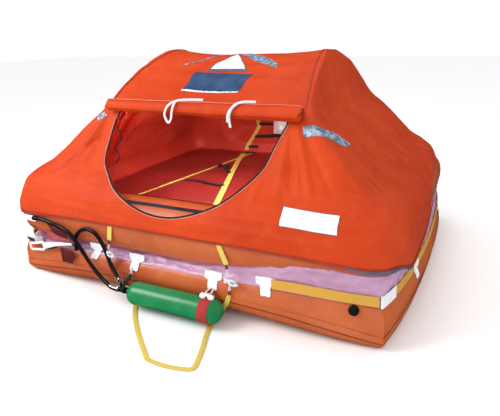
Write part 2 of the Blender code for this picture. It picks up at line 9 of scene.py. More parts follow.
import bpy
import numpy as np
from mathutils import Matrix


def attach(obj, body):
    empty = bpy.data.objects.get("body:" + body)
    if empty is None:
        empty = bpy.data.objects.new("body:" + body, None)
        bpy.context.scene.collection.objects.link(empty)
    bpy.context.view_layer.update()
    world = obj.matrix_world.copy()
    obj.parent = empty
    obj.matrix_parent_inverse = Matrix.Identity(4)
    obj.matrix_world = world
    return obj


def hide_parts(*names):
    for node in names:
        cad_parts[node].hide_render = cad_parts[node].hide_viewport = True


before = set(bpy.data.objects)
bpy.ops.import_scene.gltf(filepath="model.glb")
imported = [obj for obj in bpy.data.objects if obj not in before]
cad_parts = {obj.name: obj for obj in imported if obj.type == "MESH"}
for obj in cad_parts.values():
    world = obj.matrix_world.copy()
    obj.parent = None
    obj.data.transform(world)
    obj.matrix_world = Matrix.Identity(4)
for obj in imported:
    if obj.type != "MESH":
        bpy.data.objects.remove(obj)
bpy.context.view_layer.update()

# %% [markdown]
# ## Where the raft's middle is
# The frame's origin is in the middle of everything that stands on the floor, and the gas
# cylinder sticks out in front. The raft's own middle is therefore a little behind it. The
# numbers below are worked out from the raft's middle, because its sides mirror each other
# there, and the shift is added when a mesh is made. Sizes are in metres, and long tables of
# knots are in millimetres, because they are easier to read and compare that way.

# %% The raft's sizes
MIDDLE_Y = 0.05485  # the raft's middle in the frame
shift = np.array([0, MIDDLE_Y, 0])
HALF_X = 1.1
HALF_Y = 0.97
TUBE = 0.13  # radius of both rings
NOTCH = 0.26  # height where the rings meet
BLEND_HIGH = 0.3164  # from here up the outline is the upper ring's
FRONT_BOW = 0.02  # how far the middle of a side stands out
LOWER_END_BOW = 0.06
UPPER_END_BOW = 0.022
LOWER_PULL = 0.04  # how far the lower ring is drawn in at its corners
CORNER_PINCH = 6.0  # how square the lower ring's section gets there
MID_RISE = 0.022  # how much higher the rings stand at the middle of a side
BAND_FOOT = 0.2036  # height where the film leaves the lower ring


def mm(rows):
    """A table of millimetres as an array of metres."""
    return np.array(rows) / 1000


print("raft:", 2 * HALF_X, "by", 2 * HALF_Y, "m, tubes", 2 * TUBE, "m across")

# %% [markdown]
# ## The camera
# The photograph is taken from the raft's front right, a little above the roof. The place and
# the turn come from lining up the corners of the rings and the ridge with the picture. They
# are set as a matrix, which holds the small roll too; a Track To constraint would lose it.


# %% The camera
def set_camera():
    """A camera from a place, a turn about the upright, a tilt down and a small roll."""
    yaw, tilt, roll = (math.radians(angle) for angle in (25.585, 19.57, -1.32))
    ahead = np.array([-math.sin(yaw) * math.cos(tilt), math.cos(yaw) * math.cos(tilt), -math.sin(tilt)])
    right = np.array([math.cos(yaw), math.sin(yaw), 0.0])
    above = np.cross(right, ahead)
    turned_right = math.cos(roll) * right + math.sin(roll) * above
    turned_up = -math.sin(roll) * right + math.cos(roll) * above
    lens = bpy.data.cameras.new("camera")
    lens.sensor_width = 36
    lens.lens = 35.75
    lens.clip_end = 60
    camera = bpy.data.objects.new("camera", lens)
    bpy.context.scene.collection.objects.link(camera)
    whole = np.eye(4)
    whole[:3, 0], whole[:3, 1], whole[:3, 2] = turned_right, turned_up, -ahead
    whole[:3, 3] = (1.3411, -2.8208 + MIDDLE_Y, 1.3339)
    camera.matrix_world = whole.T.tolist()
    bpy.context.scene.camera = camera
    return camera


CAMERA = set_camera()
print("camera at", [round(value, 3) for value in CAMERA.matrix_world.translation])

# %% [markdown]
# ## Grids, sweeps and noise
# Nearly every piece is a surface of two parameters. These helpers turn arrays of points into
# meshes, give them a UV map in real metres, carry a section along a route, and give smooth
# random values for creases. Sculpting would be quicker for one wrinkle, but with formulas
# every size can be read and changed, and a piece can be laid on its neighbour exactly.


# %% Meshes from arrays
def add_piece(name, points, faces, finish, stands_for=(), uv=None, sharp=50):
    """One mesh from points round the raft's middle, faces as corner numbers and a UV per corner.

    A finish is a material and the name of a slot; the slot's name is not used.
    """
    place = np.asarray(points, dtype=float).reshape(-1, 3) + shift
    mesh = bpy.data.meshes.new(name)
    mesh.from_pydata(place.tolist(), [], faces)
    if uv is not None:
        layer = mesh.uv_layers.new(name="metres")
        layer.data.foreach_set("uv", np.asarray(uv, dtype=np.float32).ravel())
    mesh.shade_smooth()
    if sharp:
        mesh.set_sharp_from_angle(angle=math.radians(sharp))
    material, slot = finish
    mesh.materials.append(material)
    piece = bpy.data.objects.new(name, mesh)
    bpy.context.scene.collection.objects.link(piece)
    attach(piece, "root")
    if stands_for:
        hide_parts(*stands_for)
    return piece


def grid(points, around=False, closed=False, flip=False):
    """Faces and UV of a grid of points, rows by columns.

    closed joins the last row to the first, and around the last column to the first. The UV is
    the length along each row and along each column, in metres.
    """
    rows, columns = points.shape[:2]
    last_row, last_column = (rows if closed else rows - 1), (columns if around else columns - 1)
    i, j = np.meshgrid(np.arange(last_row), np.arange(last_column), indexing="ij")
    k, m = i + 1, j + 1
    corners = [(i, j), (k, j), (k, m), (i, m)]
    if flip:
        corners.reverse()
    faces = np.stack([(a % rows) * columns + b % columns for a, b in corners], axis=-1)
    whole = np.concatenate([points, points[:1]]) if closed else points
    whole = np.concatenate([whole, whole[:, :1]], axis=1) if around else whole
    across = np.linalg.norm(np.diff(whole, axis=1), axis=2)
    along = np.linalg.norm(np.diff(whole, axis=0), axis=2)
    u = np.concatenate([np.zeros((whole.shape[0], 1)), np.cumsum(across, axis=1)], axis=1)
    v = np.concatenate([np.zeros((1, whole.shape[1])), np.cumsum(along, axis=0)])
    uv = np.stack([np.stack([u[a, b], v[a, b]], axis=-1) for a, b in corners], axis=-2)
    return faces.reshape(-1, 4).tolist(), uv.reshape(-1, 2)


def capped_grid(points, flip=False):
    """Faces and UV of a tube: a grid that closes round its columns, with one face on each end."""
    faces, uv = grid(points, around=True, flip=flip)
    rows, columns = points.shape[:2]
    first, last = list(range(columns)), list(range((rows - 1) * columns, rows * columns))
    ends = [first[::-1], last] if flip else [first, last[::-1]]
    return faces + ends, np.concatenate([uv, np.zeros((2 * columns, 2))])


def grid_piece(name, points, finish, stands_for=(), around=False, closed=False, flip=False, sharp=50):
    """A grid of points as one piece."""
    faces, uv = grid(points, around, closed, flip)
    return add_piece(name, points, faces, finish, stands_for, uv, sharp)


def unit(rows):
    """Each row divided by its length."""
    return rows / np.maximum(np.linalg.norm(rows, axis=-1, keepdims=True), 1e-12)


def normals_of(points, around=False, closed=False):
    """Normals of a grid: the cross product of its two directions at each point."""
    ahead, aside = (
        np.roll(points, -1, axis=axis) - np.roll(points, 1, axis=axis) if loops else np.gradient(points, axis=axis)
        for axis, loops in ((0, closed), (1, around))
    )
    return unit(np.cross(ahead, aside))


def smooth_route(knots, steps):
    """Points on a Catmull-Rom curve: each stretch is a cubic that leaves a knot parallel to the
    line between the knots on either side of it."""
    knots = np.asarray(knots, dtype=float)
    ends = np.concatenate([[2 * knots[0] - knots[1]], knots, [2 * knots[-1] - knots[-2]]])
    a, b, c, d = (ends[k : k + len(knots) - 1, None, :] for k in range(4))
    t = (np.arange(steps) / steps)[None, :, None]
    bend, twist = 2 * a - 5 * b + 4 * c - d, 3 * b - a - 3 * c + d
    route = 0.5 * (2 * b + (c - a) * t + bend * t**2 + twist * t**3)
    return np.concatenate([route.reshape(-1, knots.shape[1]), knots[-1:]])


def lengths_along(route):
    """Distance from a line's first point to each of its points."""
    return np.concatenate([[0], np.cumsum(np.linalg.norm(np.diff(route, axis=0), axis=1))])


def read_off(at, lengths, rows):
    """Each column of some rows, read off at distances along their line."""
    return np.stack([np.interp(at, lengths, rows[:, k]) for k in range(rows.shape[1])], axis=1)


def resample(route, step):
    """The same line with points an even step apart."""
    lengths = lengths_along(route)
    count = max(2, int(round(lengths[-1] / step)) + 1)
    return read_off(np.linspace(0, lengths[-1], count), lengths, route)


def line_length(route):
    """Length of a line of points."""
    return float(np.linalg.norm(np.diff(route, axis=0), axis=1).sum())


def sweep(name, route, up, section, finish, stands_for=(), scale=None, sharp=50, ring=False):
    """A section carried along a route, closed at both ends unless it is a ring.

    The section's first number is measured sideways, across the route and up, and its second
    along up. scale is the section's size at each point of the route.
    """
    route = np.asarray(route, dtype=float)
    if ring:
        ahead = unit(np.roll(route, -1, axis=0) - np.roll(route, 1, axis=0))
    else:
        ahead = unit(np.gradient(route, axis=0))
    up = np.broadcast_to(np.asarray(up, dtype=float), route.shape)
    side = unit(np.cross(ahead, up))
    up = np.cross(side, ahead)
    scale = np.ones(len(route)) if scale is None else np.asarray(scale)
    section = np.asarray(section, dtype=float)
    offsets = side[:, None] * section[None, :, :1] + up[:, None] * section[None, :, 1:]
    points = route[:, None] + offsets * scale[:, None, None]
    faces, uv = grid(points, around=True, closed=True) if ring else capped_grid(points)
    return add_piece(name, points, faces, finish, stands_for, uv, sharp)


def round_section(radius, sides=16):
    """A circle, in the order that makes the faces point outwards."""
    angle = np.linspace(0, 2 * math.pi, sides, endpoint=False)
    return np.stack([-radius * np.sin(angle), radius * np.cos(angle)], axis=1)


def flat_section(width, thick, edge=4):
    """A flat strap's section: a rectangle whose two short sides are half circles."""
    angle = np.linspace(0, math.pi, edge + 1)
    reach = (width - thick) / 2
    right = np.stack([reach + thick / 2 * np.sin(angle), thick / 2 * np.cos(angle)], axis=1)
    return np.concatenate([right, -right])[::-1]


print("a strap's section:", len(flat_section(0.024, 0.003)), "corners, a hose's:", len(round_section(0.01)))

# %% Smooth random values
LATTICE_SIZE = 24
LATTICE = np.random.default_rng(7).uniform(-1, 1, (LATTICE_SIZE,) * 3)


def noise(points, size, seed=0):
    """Random values on a lattice of cubes of the given size, blended smoothly between corners."""
    spot = np.asarray(points) / size + seed * 5.37
    cell = np.floor(spot).astype(int)
    part = spot - cell
    part = part * part * (3 - 2 * part)
    total = np.zeros(spot.shape[:-1])
    for corner in np.ndindex(2, 2, 2):
        weight = np.prod(np.where(corner, part, 1 - part), axis=-1)
        index = (cell + corner) % LATTICE_SIZE
        total += weight * LATTICE[index[..., 0], index[..., 1], index[..., 2]]
    return total


def crease(points, start, end, width, height):
    """A ridge, or a valley for a negative height, along a line: a bell curve of the distance from
    the line, fading out at its two ends."""
    start, end = np.asarray(start, dtype=float), np.asarray(end, dtype=float)
    line = end - start
    share = np.clip(((points - start) @ line) / (line @ line), 0, 1)
    away = np.linalg.norm(points - start - share[..., None] * line, axis=-1)
    fade = np.sin(math.pi * np.clip(share, 0.02, 0.98)) ** 0.6
    return height * fade * np.exp(-((away / width) ** 2))


print("noise lattice:", LATTICE.shape)

# %% [markdown]
# ## Finishes
# Each finish is a few nodes: a colour that varies over the cloth, a fine weave or grain as bump,
# and a roughness that changes with them. Image textures would need photos of each cloth, and
# would show their edges. Patterns on straps follow the UV map, which is in metres, so a thread
# is as wide as a real one.


# %% Node helpers
def feed(tree, socket, value):
    """Link an input to another node's output, or set a plain value on it."""
    if isinstance(value, bpy.types.NodeSocket):
        tree.links.new(value, socket)
    else:
        socket.default_value = value


def add_node(tree, kind, settings=None, **inputs):
    """One shader node with its settings, and its inputs as numbers or as links."""
    made = tree.nodes.new("ShaderNode" + kind)
    for key, value in (settings or {}).items():
        setattr(made, key, value)
    for key, value in inputs.items():
        feed(tree, made.inputs[key.replace("_", " ")], value)
    return made


def blend_colours(tree, share, first, second):
    """The colour between two colours, by a share from 0 to 1."""
    made = add_node(tree, "Mix", {"data_type": "RGBA"})
    for index, value in ((0, share), (6, first), (7, second)):
        feed(tree, made.inputs[index], value)
    return made.outputs[2]


def remap(tree, value, low, high, to_low, to_high):
    """A value stretched from one range to another, and kept inside it."""
    made = add_node(tree, "MapRange", None, Value=value, From_Min=low, From_Max=high, To_Min=to_low, To_Max=to_high)
    return made.outputs[0]


def arithmetic(tree, kind, first, second):
    """One sum, product or other operation."""
    made = add_node(tree, "Math", {"operation": kind})
    feed(tree, made.inputs[0], first)
    feed(tree, made.inputs[1], second)
    return made.outputs[0]


def rgb(red, green, blue):
    """A colour with full cover."""
    return (red, green, blue, 1.0)


def start_finish(name, roughness, **constants):
    """A material with one Principled shader, its constant values set on its own sockets."""
    made = bpy.data.materials.new(name)
    made.use_nodes = True
    tree = made.node_tree
    shader = tree.nodes["Principled BSDF"]
    shader.inputs["Roughness"].default_value = roughness
    for key, value in constants.items():
        shader.inputs[key.replace("_", " ")].default_value = value
    return made, tree, shader


def coordinates(tree, which, scale=(1, 1, 1), turn=0.0):
    """Object or UV coordinates, scaled and turned."""
    source = add_node(tree, "TexCoord").outputs[which]
    mapping = add_node(tree, "Mapping", None, Vector=source, Scale=scale, Rotation=(0, 0, turn))
    return mapping.outputs[0]


def noise_node(tree, where, scale, detail=3.0, roughness=0.55, distortion=0.0):
    """Blender's noise, as a value around a half."""
    more = {"Detail": detail, "Roughness": roughness, "Distortion": distortion}
    return add_node(tree, "TexNoise", None, Vector=where, Scale=scale, **more).outputs[0]


def thread_node(tree, uv, way, thread, **inputs):
    """A wave across (X) or along (Y) a piece, one crest for each thread's width in metres."""
    wave = add_node(tree, "TexWave", {"bands_direction": way}, Vector=uv, Scale=math.pi / 10 / thread, **inputs)
    return wave.outputs[1]


def bump_node(tree, shader, heights):
    """Bumps on top of each other: each is (height value, distance in metres, strength)."""
    normal = None
    for height, distance, strength in heights:
        made = add_node(tree, "Bump", None, Height=height, Distance=distance, Strength=strength)
        if normal is not None:
            tree.links.new(normal, made.inputs["Normal"])
        normal = made.outputs[0]
    tree.links.new(normal, shader.inputs["Normal"])


print("node helpers: colours, ranges, sums, coordinates, noise, threads and bumps")

# %% Coated cloth and rubber
CLOTH_THREAD = 0.0011
STRAP_THREAD = 0.0022
TAPE_THREAD = 0.0035


def coated_cloth(name, slot, main, dark, pale, roughness=0.5, wrinkle=0.35, weave=0.25, pull=0.0, **constants):
    """Nylon with a rubber coating: two sets of threads, large soft patches of colour, faint
    handling marks, small random creases, and longer pulls that run round the piece."""
    made, tree, shader = start_finish(name, roughness, **constants)
    here = coordinates(tree, "Object")
    uv = coordinates(tree, "UV")
    patch = noise_node(tree, here, 2.6, 2.0)
    mottle = noise_node(tree, here, 14.0, 5.0, 0.6)
    colour = blend_colours(tree, remap(tree, patch, 0.35, 0.68, 0.0, 1.0), dark, main)
    marks = remap(tree, mottle, 0.56, 0.78, 0.0, 0.55)
    colour = blend_colours(tree, marks, colour, pale)
    tree.links.new(colour, shader.inputs["Base Color"])
    spread = remap(tree, mottle, 0.3, 0.7, roughness - 0.08, roughness + 0.1)
    tree.links.new(spread, shader.inputs["Roughness"])
    threads = [thread_node(tree, uv, way, CLOTH_THREAD, Distortion=0.4, Detail=1.0) for way in ("X", "Y")]
    woven = arithmetic(tree, "MULTIPLY", *threads)
    folds = noise_node(tree, here, 9.0, 4.0, 0.5, 0.6)
    pulls = noise_node(tree, coordinates(tree, "Object", (5.0, 12.0, 34.0), 0.35), 1.0, 3.0, 0.55, 0.8)
    bump_node(tree, shader, [(folds, 0.012, wrinkle), (pulls, 0.008, pull), (woven, 0.0004, weave)])
    return made, slot


CANOPY = coated_cloth(
    "canopy_cloth", "canopy_cloth", rgb(0.57, 0.054, 0.008), rgb(0.48, 0.04, 0.006), rgb(0.62, 0.08, 0.02),
    wrinkle=0.45, pull=0.55, Specular_IOR_Level=0.12,
)
TUBES = coated_cloth(
    "tube_rubber", "tube_rubber", rgb(0.56, 0.122, 0.028), rgb(0.44, 0.078, 0.018), rgb(0.62, 0.185, 0.07),
    roughness=0.4, wrinkle=0.22, weave=0.15, Coat_Weight=0.12, Coat_Roughness=0.35,
)
INSIDE = coated_cloth(
    "inner_tent_cloth", "canopy_cloth", rgb(0.56, 0.04, 0.018), rgb(0.46, 0.028, 0.013), rgb(0.62, 0.07, 0.032),
    roughness=0.55,
)
FLOOR = coated_cloth(
    "floor_cloth", "floor_cloth", rgb(0.3, 0.02, 0.014), rgb(0.21, 0.012, 0.01), rgb(0.38, 0.04, 0.026), wrinkle=0.25
)
print("cloths:", [material.name for material, slot in (CANOPY, TUBES, INSIDE, FLOOR)])


# %% Webbing, fabric patches, metal and paint
def webbing(name, slot, main, dark, roughness=0.7):
    """Woven strap: ribs across the strap, wider lines along it, and handling dirt."""
    made, tree, shader = start_finish(name, roughness)
    uv = coordinates(tree, "UV")
    here = coordinates(tree, "Object")
    ribs = thread_node(tree, uv, "Y", STRAP_THREAD, Distortion=0.6, Detail=1.0)
    lines = thread_node(tree, uv, "X", STRAP_THREAD * 1.6, Distortion=0.3)
    weave = arithmetic(tree, "MULTIPLY", ribs, lines)
    dirt = noise_node(tree, here, 30.0, 4.0, 0.6)
    colour = blend_colours(tree, remap(tree, weave, 0.0, 0.7, 0.0, 1.0), dark, main)
    colour = blend_colours(tree, remap(tree, dirt, 0.5, 0.8, 0.0, 0.45), colour, dark)
    tree.links.new(colour, shader.inputs["Base Color"])
    tree.links.new(remap(tree, weave, 0.0, 1.0, roughness + 0.1, roughness - 0.1), shader.inputs["Roughness"])
    bump_node(tree, shader, [(dirt, 0.002, 0.25), (weave, 0.0006, 0.6)])
    return made, slot


def plain_coat(name, slot, main, dark, roughness, **constants):
    """A moulded, painted or printed surface: slight shade changes, fine grain, and wear."""
    made, tree, shader = start_finish(name, roughness, **constants)
    here = coordinates(tree, "Object")
    shade = noise_node(tree, here, 11.0, 3.0)
    fine = noise_node(tree, here, 120.0, 3.0)
    colour = blend_colours(tree, remap(tree, shade, 0.35, 0.7, 0.0, 1.0), main, dark)
    tree.links.new(colour, shader.inputs["Base Color"])
    tree.links.new(remap(tree, fine, 0.3, 0.7, roughness * 0.85, roughness * 1.2), shader.inputs["Roughness"])
    bump_node(tree, shader, [(shade, 0.003, 0.15), (fine, 0.0004, 0.4)])
    return made, slot


YELLOW = webbing("yellow_webbing", "yellow_webbing", rgb(0.76, 0.6, 0.13), rgb(0.6, 0.44, 0.075))
GRAB = webbing("grab_webbing", "yellow_webbing", rgb(0.7, 0.4, 0.05), rgb(0.59, 0.3, 0.032), 0.5)
PALE_WEB = webbing("white_webbing", "white_fabric", rgb(0.8, 0.82, 0.85), rgb(0.56, 0.59, 0.64))
RED_WEB = webbing("red_webbing", "red_webbing", rgb(0.56, 0.03, 0.022), rgb(0.33, 0.014, 0.012))
BLACK_WEB = webbing("black_webbing", "black_webbing", rgb(0.016, 0.016, 0.02), rgb(0.006, 0.006, 0.008))
WHITE = coated_cloth(
    "white_fabric", "white_fabric", rgb(0.84, 0.85, 0.87), rgb(0.7, 0.715, 0.745), rgb(0.62, 0.6, 0.58), wrinkle=0.4
)
BAND = coated_cloth(
    "band_film", "band_film", rgb(0.56, 0.33, 0.5), rgb(0.45, 0.23, 0.38), rgb(0.64, 0.47, 0.62),
    roughness=0.36, wrinkle=0.9, weave=0.05, Coat_Weight=0.25, Coat_Roughness=0.25,
)
GREEN = plain_coat(
    "cylinder_paint", "cylinder_paint", rgb(0.004, 0.25, 0.075), rgb(0.003, 0.18, 0.055), 0.36,
    Coat_Weight=0.25, Coat_Roughness=0.18,
)
RUBBER = plain_coat(
    "black_rubber", "black_rubber", rgb(0.01, 0.009, 0.011), rgb(0.005, 0.005, 0.006), 0.34, Specular_IOR_Level=0.3
)
STEEL = plain_coat("ferrule_steel", "black_rubber", rgb(0.62, 0.63, 0.65), rgb(0.42, 0.43, 0.45), 0.28, Metallic=1.0)
ZIP = plain_coat(
    "zip_black", "black_webbing", rgb(0.007, 0.007, 0.009), rgb(0.014, 0.014, 0.018), 0.6, Specular_IOR_Level=0.2
)
NAVY = plain_coat("navy_cloth", "white_fabric", rgb(0.012, 0.02, 0.06), rgb(0.006, 0.01, 0.03), 0.6)
CLEAR = plain_coat("cloudy_film", "clear_film", rgb(0.8, 0.74, 0.76), rgb(0.68, 0.6, 0.64), 0.3, Coat_Weight=0.4)
print("materials so far:", len(bpy.data.materials))

# %% [markdown]
# ## The floor and the light
# The photograph is a cut-out on white, lit softly from above and from the left. A wide pale
# floor and a bright sky give the white ground. Two large lamps give the shape, and a third
# above the roof gives its haze. A fourth, inside under the roof, stands for the daylight that
# the thin cloth lets through; real translucency would need many more samples.


# %% Stage and lamps
def set_stage():
    """A wide floor, a pale sky, and soft lamps as (name, place, aim, size, power)."""
    scene = bpy.context.scene
    scene.view_settings.view_transform = "Standard"
    sky = bpy.data.worlds.new("sky")
    scene.world = sky
    sky.use_nodes = True
    light = sky.node_tree.nodes["Background"]
    light.inputs["Color"].default_value = (1.0, 1.0, 1.0, 1.0)
    light.inputs["Strength"].default_value = 1.06
    ground = plain_coat("stage_floor", None, rgb(0.97, 0.97, 0.97), rgb(0.96, 0.96, 0.96), 0.95)[0]
    mesh = bpy.data.meshes.new("stage_floor")
    mesh.from_pydata([(24 * x, 24 * y, 0) for x, y in ((-1, -1), (1, -1), (1, 1), (-1, 1))], [], [(0, 1, 2, 3)])
    mesh.materials.append(ground)
    floor = bpy.data.objects.new("stage_floor", mesh)
    scene.collection.objects.link(floor)
    lamps = (
        ("key_lamp", (-2.7, -2.9, 3.3), (0.0, 0.0, 0.4), 2.4, 135.0),
        ("fill_lamp", (3.6, -3.2, 2.2), (0.0, 0.0, 0.4), 3.0, 12.0),
        ("roof_lamp", (0.2, 0.7, 3.4), (0.0, 0.0, 1.1), 1.6, 15.0),
        ("cabin_lamp", (0.0, -0.36, 0.96), (0.0, 0.3, 0.45), 0.8, 25.0),
    )
    for name, place, aim, size, power in lamps:
        data = bpy.data.lights.new(name, "AREA")
        data.shape = "ELLIPSE"
        data.size, data.size_y = size, min(size, 2.4) * (0.2 if size < 1 else 1)
        data.energy = power
        lamp = bpy.data.objects.new(name, data)
        scene.collection.objects.link(lamp)
        back = unit(np.array(place) - np.array(aim))
        side = unit(np.cross((0.0, 0.0, 1.0), back))
        whole = np.eye(4)
        whole[:3, 0], whole[:3, 1], whole[:3, 2], whole[:3, 3] = side, np.cross(back, side), back, place
        lamp.matrix_world = whole.T.tolist()
        lamp.visible_camera = False
    floor.visible_glossy = False
    sky.cycles_visibility.glossy = False


set_stage()
print("lamps:", [lamp.name for lamp in bpy.data.lights])

# %% [markdown]
# ## The cords come first
# Three things hang free on this raft: the webbing loop of the boarding ladder, and two
# inflation hoses from the gas cylinder's valve to the rings. The loop hangs from two straps and
# lies forward on the floor. A simulated rope would come to rest somewhere else, so each route
# is a smooth curve through knots, the same ones that the solids follow, and its length is
# measured along it.


# %% The front of a ring
def front_y(x, inset=0.0, lower=True):
    """Y of the front outline at x: the half width plus a bow, less the corner's pull."""
    share = abs(x) / HALF_X
    pull = LOWER_PULL * share**4 if lower else 0.0
    return -(HALF_Y - inset + FRONT_BOW * (1 - share**2) - pull)


print("front of the lower ring: y", front_y(0), "in the middle and", round(front_y(HALF_X), 3), "at a corner")

# %% The ladder's loop
LOOP_KNOTS = mm((
    (-335, -992, 128.8), (-327, -990, 105), (-310, -984, 80), (-282, -978, 56),
    (-248, -977, 36), (-218, -990, 14), (-180, -1045, 4.5), (-120, -1128, 4.5),
    (-19, -1236, 4.5), (80, -1329, 4.5), (122, -1366, 4.5), (134, -1379, 4.5),
    (152, -1386, 4.5), (205, -1391.5, 4.5), (265, -1389, 4.5), (330, -1376, 4.5),
    (352, -1366, 4.5), (359, -1350, 4.5), (355, -1325, 4.5), (326, -1228, 4.5),
    (290, -1130, 4.5), (268, -1055, 4.5), (262, -1000, 10), (275, -976, 35),
    (296, -979, 62), (316, -987, 92), (329, -991, 112), (335, -992, 128.8),
))


def laid_webbing(name, knots, ups, width, thick, finish, stands_for, step):
    """Flat webbing along knots; ups gives the flat side's direction at each knot."""
    both = np.concatenate([np.asarray(knots, dtype=float), np.asarray(ups, dtype=float)], axis=1)
    rough = smooth_route(both, 8)
    line, lengths = resample(rough[:, :3], step), lengths_along(rough[:, :3])
    up = unit(read_off(np.linspace(0, lengths[-1], len(line)), lengths, rough[:, 3:]))
    return sweep(name, line, up, flat_section(width, thick), finish, stands_for), line


LOOP_UPS = [(0, -1, 0.1)] * 4 + [(0, -1, 0.3), (0, -0.7, 0.8)] + [(0, 0, 1)] * 16 + [(0, -0.7, 0.8)]
LOOP_UPS += [(0, -1, 0.3)] + [(0, -1, 0)] * 4
ladder_loop, line = laid_webbing(
    "ladder_loop_webbing", LOOP_KNOTS, LOOP_UPS, 0.024, 0.003, YELLOW, ["ladder_loop"], 0.008
)
print("ladder loop:", round(line_length(line), 3), "m of webbing")

# %% The two hoses
HOSE = 0.0105  # radius of both hoses
INLET_RADIUS = 0.0128
UPPER_INLET = (-0.85, front_y(-0.85, lower=False) - INLET_RADIUS, 0.377)
LOWER_INLET = (-0.602, front_y(-0.602, 0.0162) - INLET_RADIUS, 0.222)
HOSE_UPPER_KNOTS = (
    (-0.8488, UPPER_INLET[1], 0.377), (-0.82, UPPER_INLET[1], 0.377), (-0.745, -0.99, 0.363),
    (-0.69, -1.0, 0.36), (-0.64, -1.006, 0.35), (-0.598, -1.008, 0.326), (-0.558, -1.009, 0.281),
    (-0.517, -1.012, 0.229), (-0.463, -1.02, 0.168), (-0.397, -1.032, 0.119), (-0.33, -1.045, 0.09),
    (-0.295, -1.0475, 0.085), (-0.2742, -1.0475, 0.085),
)
HOSE_LOWER_KNOTS = (
    (-0.602, LOWER_INLET[1], 0.2569), (-0.602, LOWER_INLET[1], 0.2769), (-0.597, -0.979, 0.293),
    (-0.575, -0.984, 0.325), (-0.532, -0.99, 0.357), (-0.48, -0.997, 0.37), (-0.432, -1.001, 0.357),
    (-0.395, -1.003, 0.315), (-0.362, -1.01, 0.257), (-0.331, -1.02, 0.195), (-0.285, -1.038, 0.155),
    (-0.25, -1.0475, 0.128), (-0.25, -1.0475, 0.104),
)


def hose(name, knots, node):
    """A round rubber hose along its knots, declared with its real length."""
    line = resample(smooth_route(knots, 8), 0.008)
    piece = sweep(name, line, (0.05, -1, 0.3), round_section(HOSE, 20), RUBBER, [node])
    print(name, round(line_length(line), 3), "m")
    return line


upper_hose_line = hose("inflation_hose_upper", HOSE_UPPER_KNOTS, "hose_upper")
lower_hose_line = hose("inflation_hose_lower", HOSE_LOWER_KNOTS, "hose_lower")

# %% [markdown]
# ## The two inflated rings
# Each ring is a round tube along a rectangle with bowed sides. The lower ring's corners are
# mitres, where two straight tubes meet in a point that droops a little; the upper ring's are
# rounded off by the canopy drawn over them. The outline is a formula of the side, of t from
# -1 to 1 along it, and of how far in from the outside a point is. A bevelled curve would give
# the tubes as well, but the formula also says where to lay the band, straps and patches.


# %% The outline of both rings
def side_places(count):
    """Side numbers and t for a whole turn: t is u (5 - u squared) / 4, so points crowd at corners."""
    u = np.linspace(-1, 1, count, endpoint=False)
    return np.repeat(np.arange(4), count), np.tile(u * (5 - u * u) / 4, 4)


def turned_side(side, along, out):
    """From (along, outward) on a side to x and y. Sides run front, right, back, left."""
    x = np.choose(side, [along, out, -along, -out])
    y = np.choose(side, [-out, along, out, -along])
    return np.stack([x, y], axis=-1)


def lower_outline(side, t, inset):
    """A bowed rectangle drawn in at its corners by the fourth power of t."""
    half = np.where(side % 2 == 0, HALF_X, HALF_Y) - inset
    other = np.where(side % 2 == 0, HALF_Y, HALF_X) - inset
    bow = np.where(side % 2 == 0, FRONT_BOW, LOWER_END_BOW)
    pull = LOWER_PULL * t**4
    return turned_side(side, t * (half - pull), other + bow * (1 - t * t) - pull)


def rounded_outline(side, t, half_x, half_y, power, bow=1.0):
    """A bowed superellipse: the along and out shares, each to the power, add up to one."""
    even = side % 2 == 0
    half, other = np.where(even, half_x, half_y), np.where(even, half_y, half_x)
    corner = 2 ** (-1 / power)
    share = t * (1 - (1 - corner) * t**4)
    out = np.maximum(1 - np.abs(share) ** power, 0) ** (1 / power)
    out = out * other + bow * np.where(even, FRONT_BOW, UPPER_END_BOW) * (1 - t * t)
    return turned_side(side, share * half, out)


def upper_outline(side, t, inset):
    """The upper ring's outline, rounded at its corners."""
    return rounded_outline(side, t, HALF_X - inset, HALF_Y - inset, 12.8)


def smooth(share):
    """The smooth step from 0 to 1: 3 s squared less 2 s cubed."""
    share = np.clip(share, 0, 1)
    return share * share * (3 - 2 * share)


def left_front(side, t):
    """A share that is 1 at the left front corner and fades along the front and the left side."""
    return np.choose(side, [1 - smooth((t - 0.05) / 0.6), 0 * t, 0 * t, smooth(t / 0.8)])


def notch_sag(side, t, inset, height):
    """How far the upper tube hangs over the notch at the left front: a bell curve of the height."""
    outer = 1 - smooth((inset - 0.08) / 0.08)
    return 0.03 * left_front(side, t) * outer * np.exp(-(((height - 0.262) / 0.055) ** 2))


def ring_place(side, t, inset, height):
    """A point of the rings at an inset and a nominal height; mid-sides stand 22 mm higher."""
    share = np.clip((height - NOTCH) / (BLEND_HIGH - NOTCH), 0, 1)[..., None]
    flat = (1 - share) * lower_outline(side, t, inset) + share * upper_outline(side, t, inset)
    rise = MID_RISE * (1 - t * t) - notch_sag(side, t, inset, height)
    return np.concatenate([flat, (height + rise)[..., None]], axis=-1)


notch_front = ring_place(np.array([0]), np.array([0.0]), 0.0, np.array([NOTCH]))[0]
print("middle of the notch at the front:", notch_front.round(3))


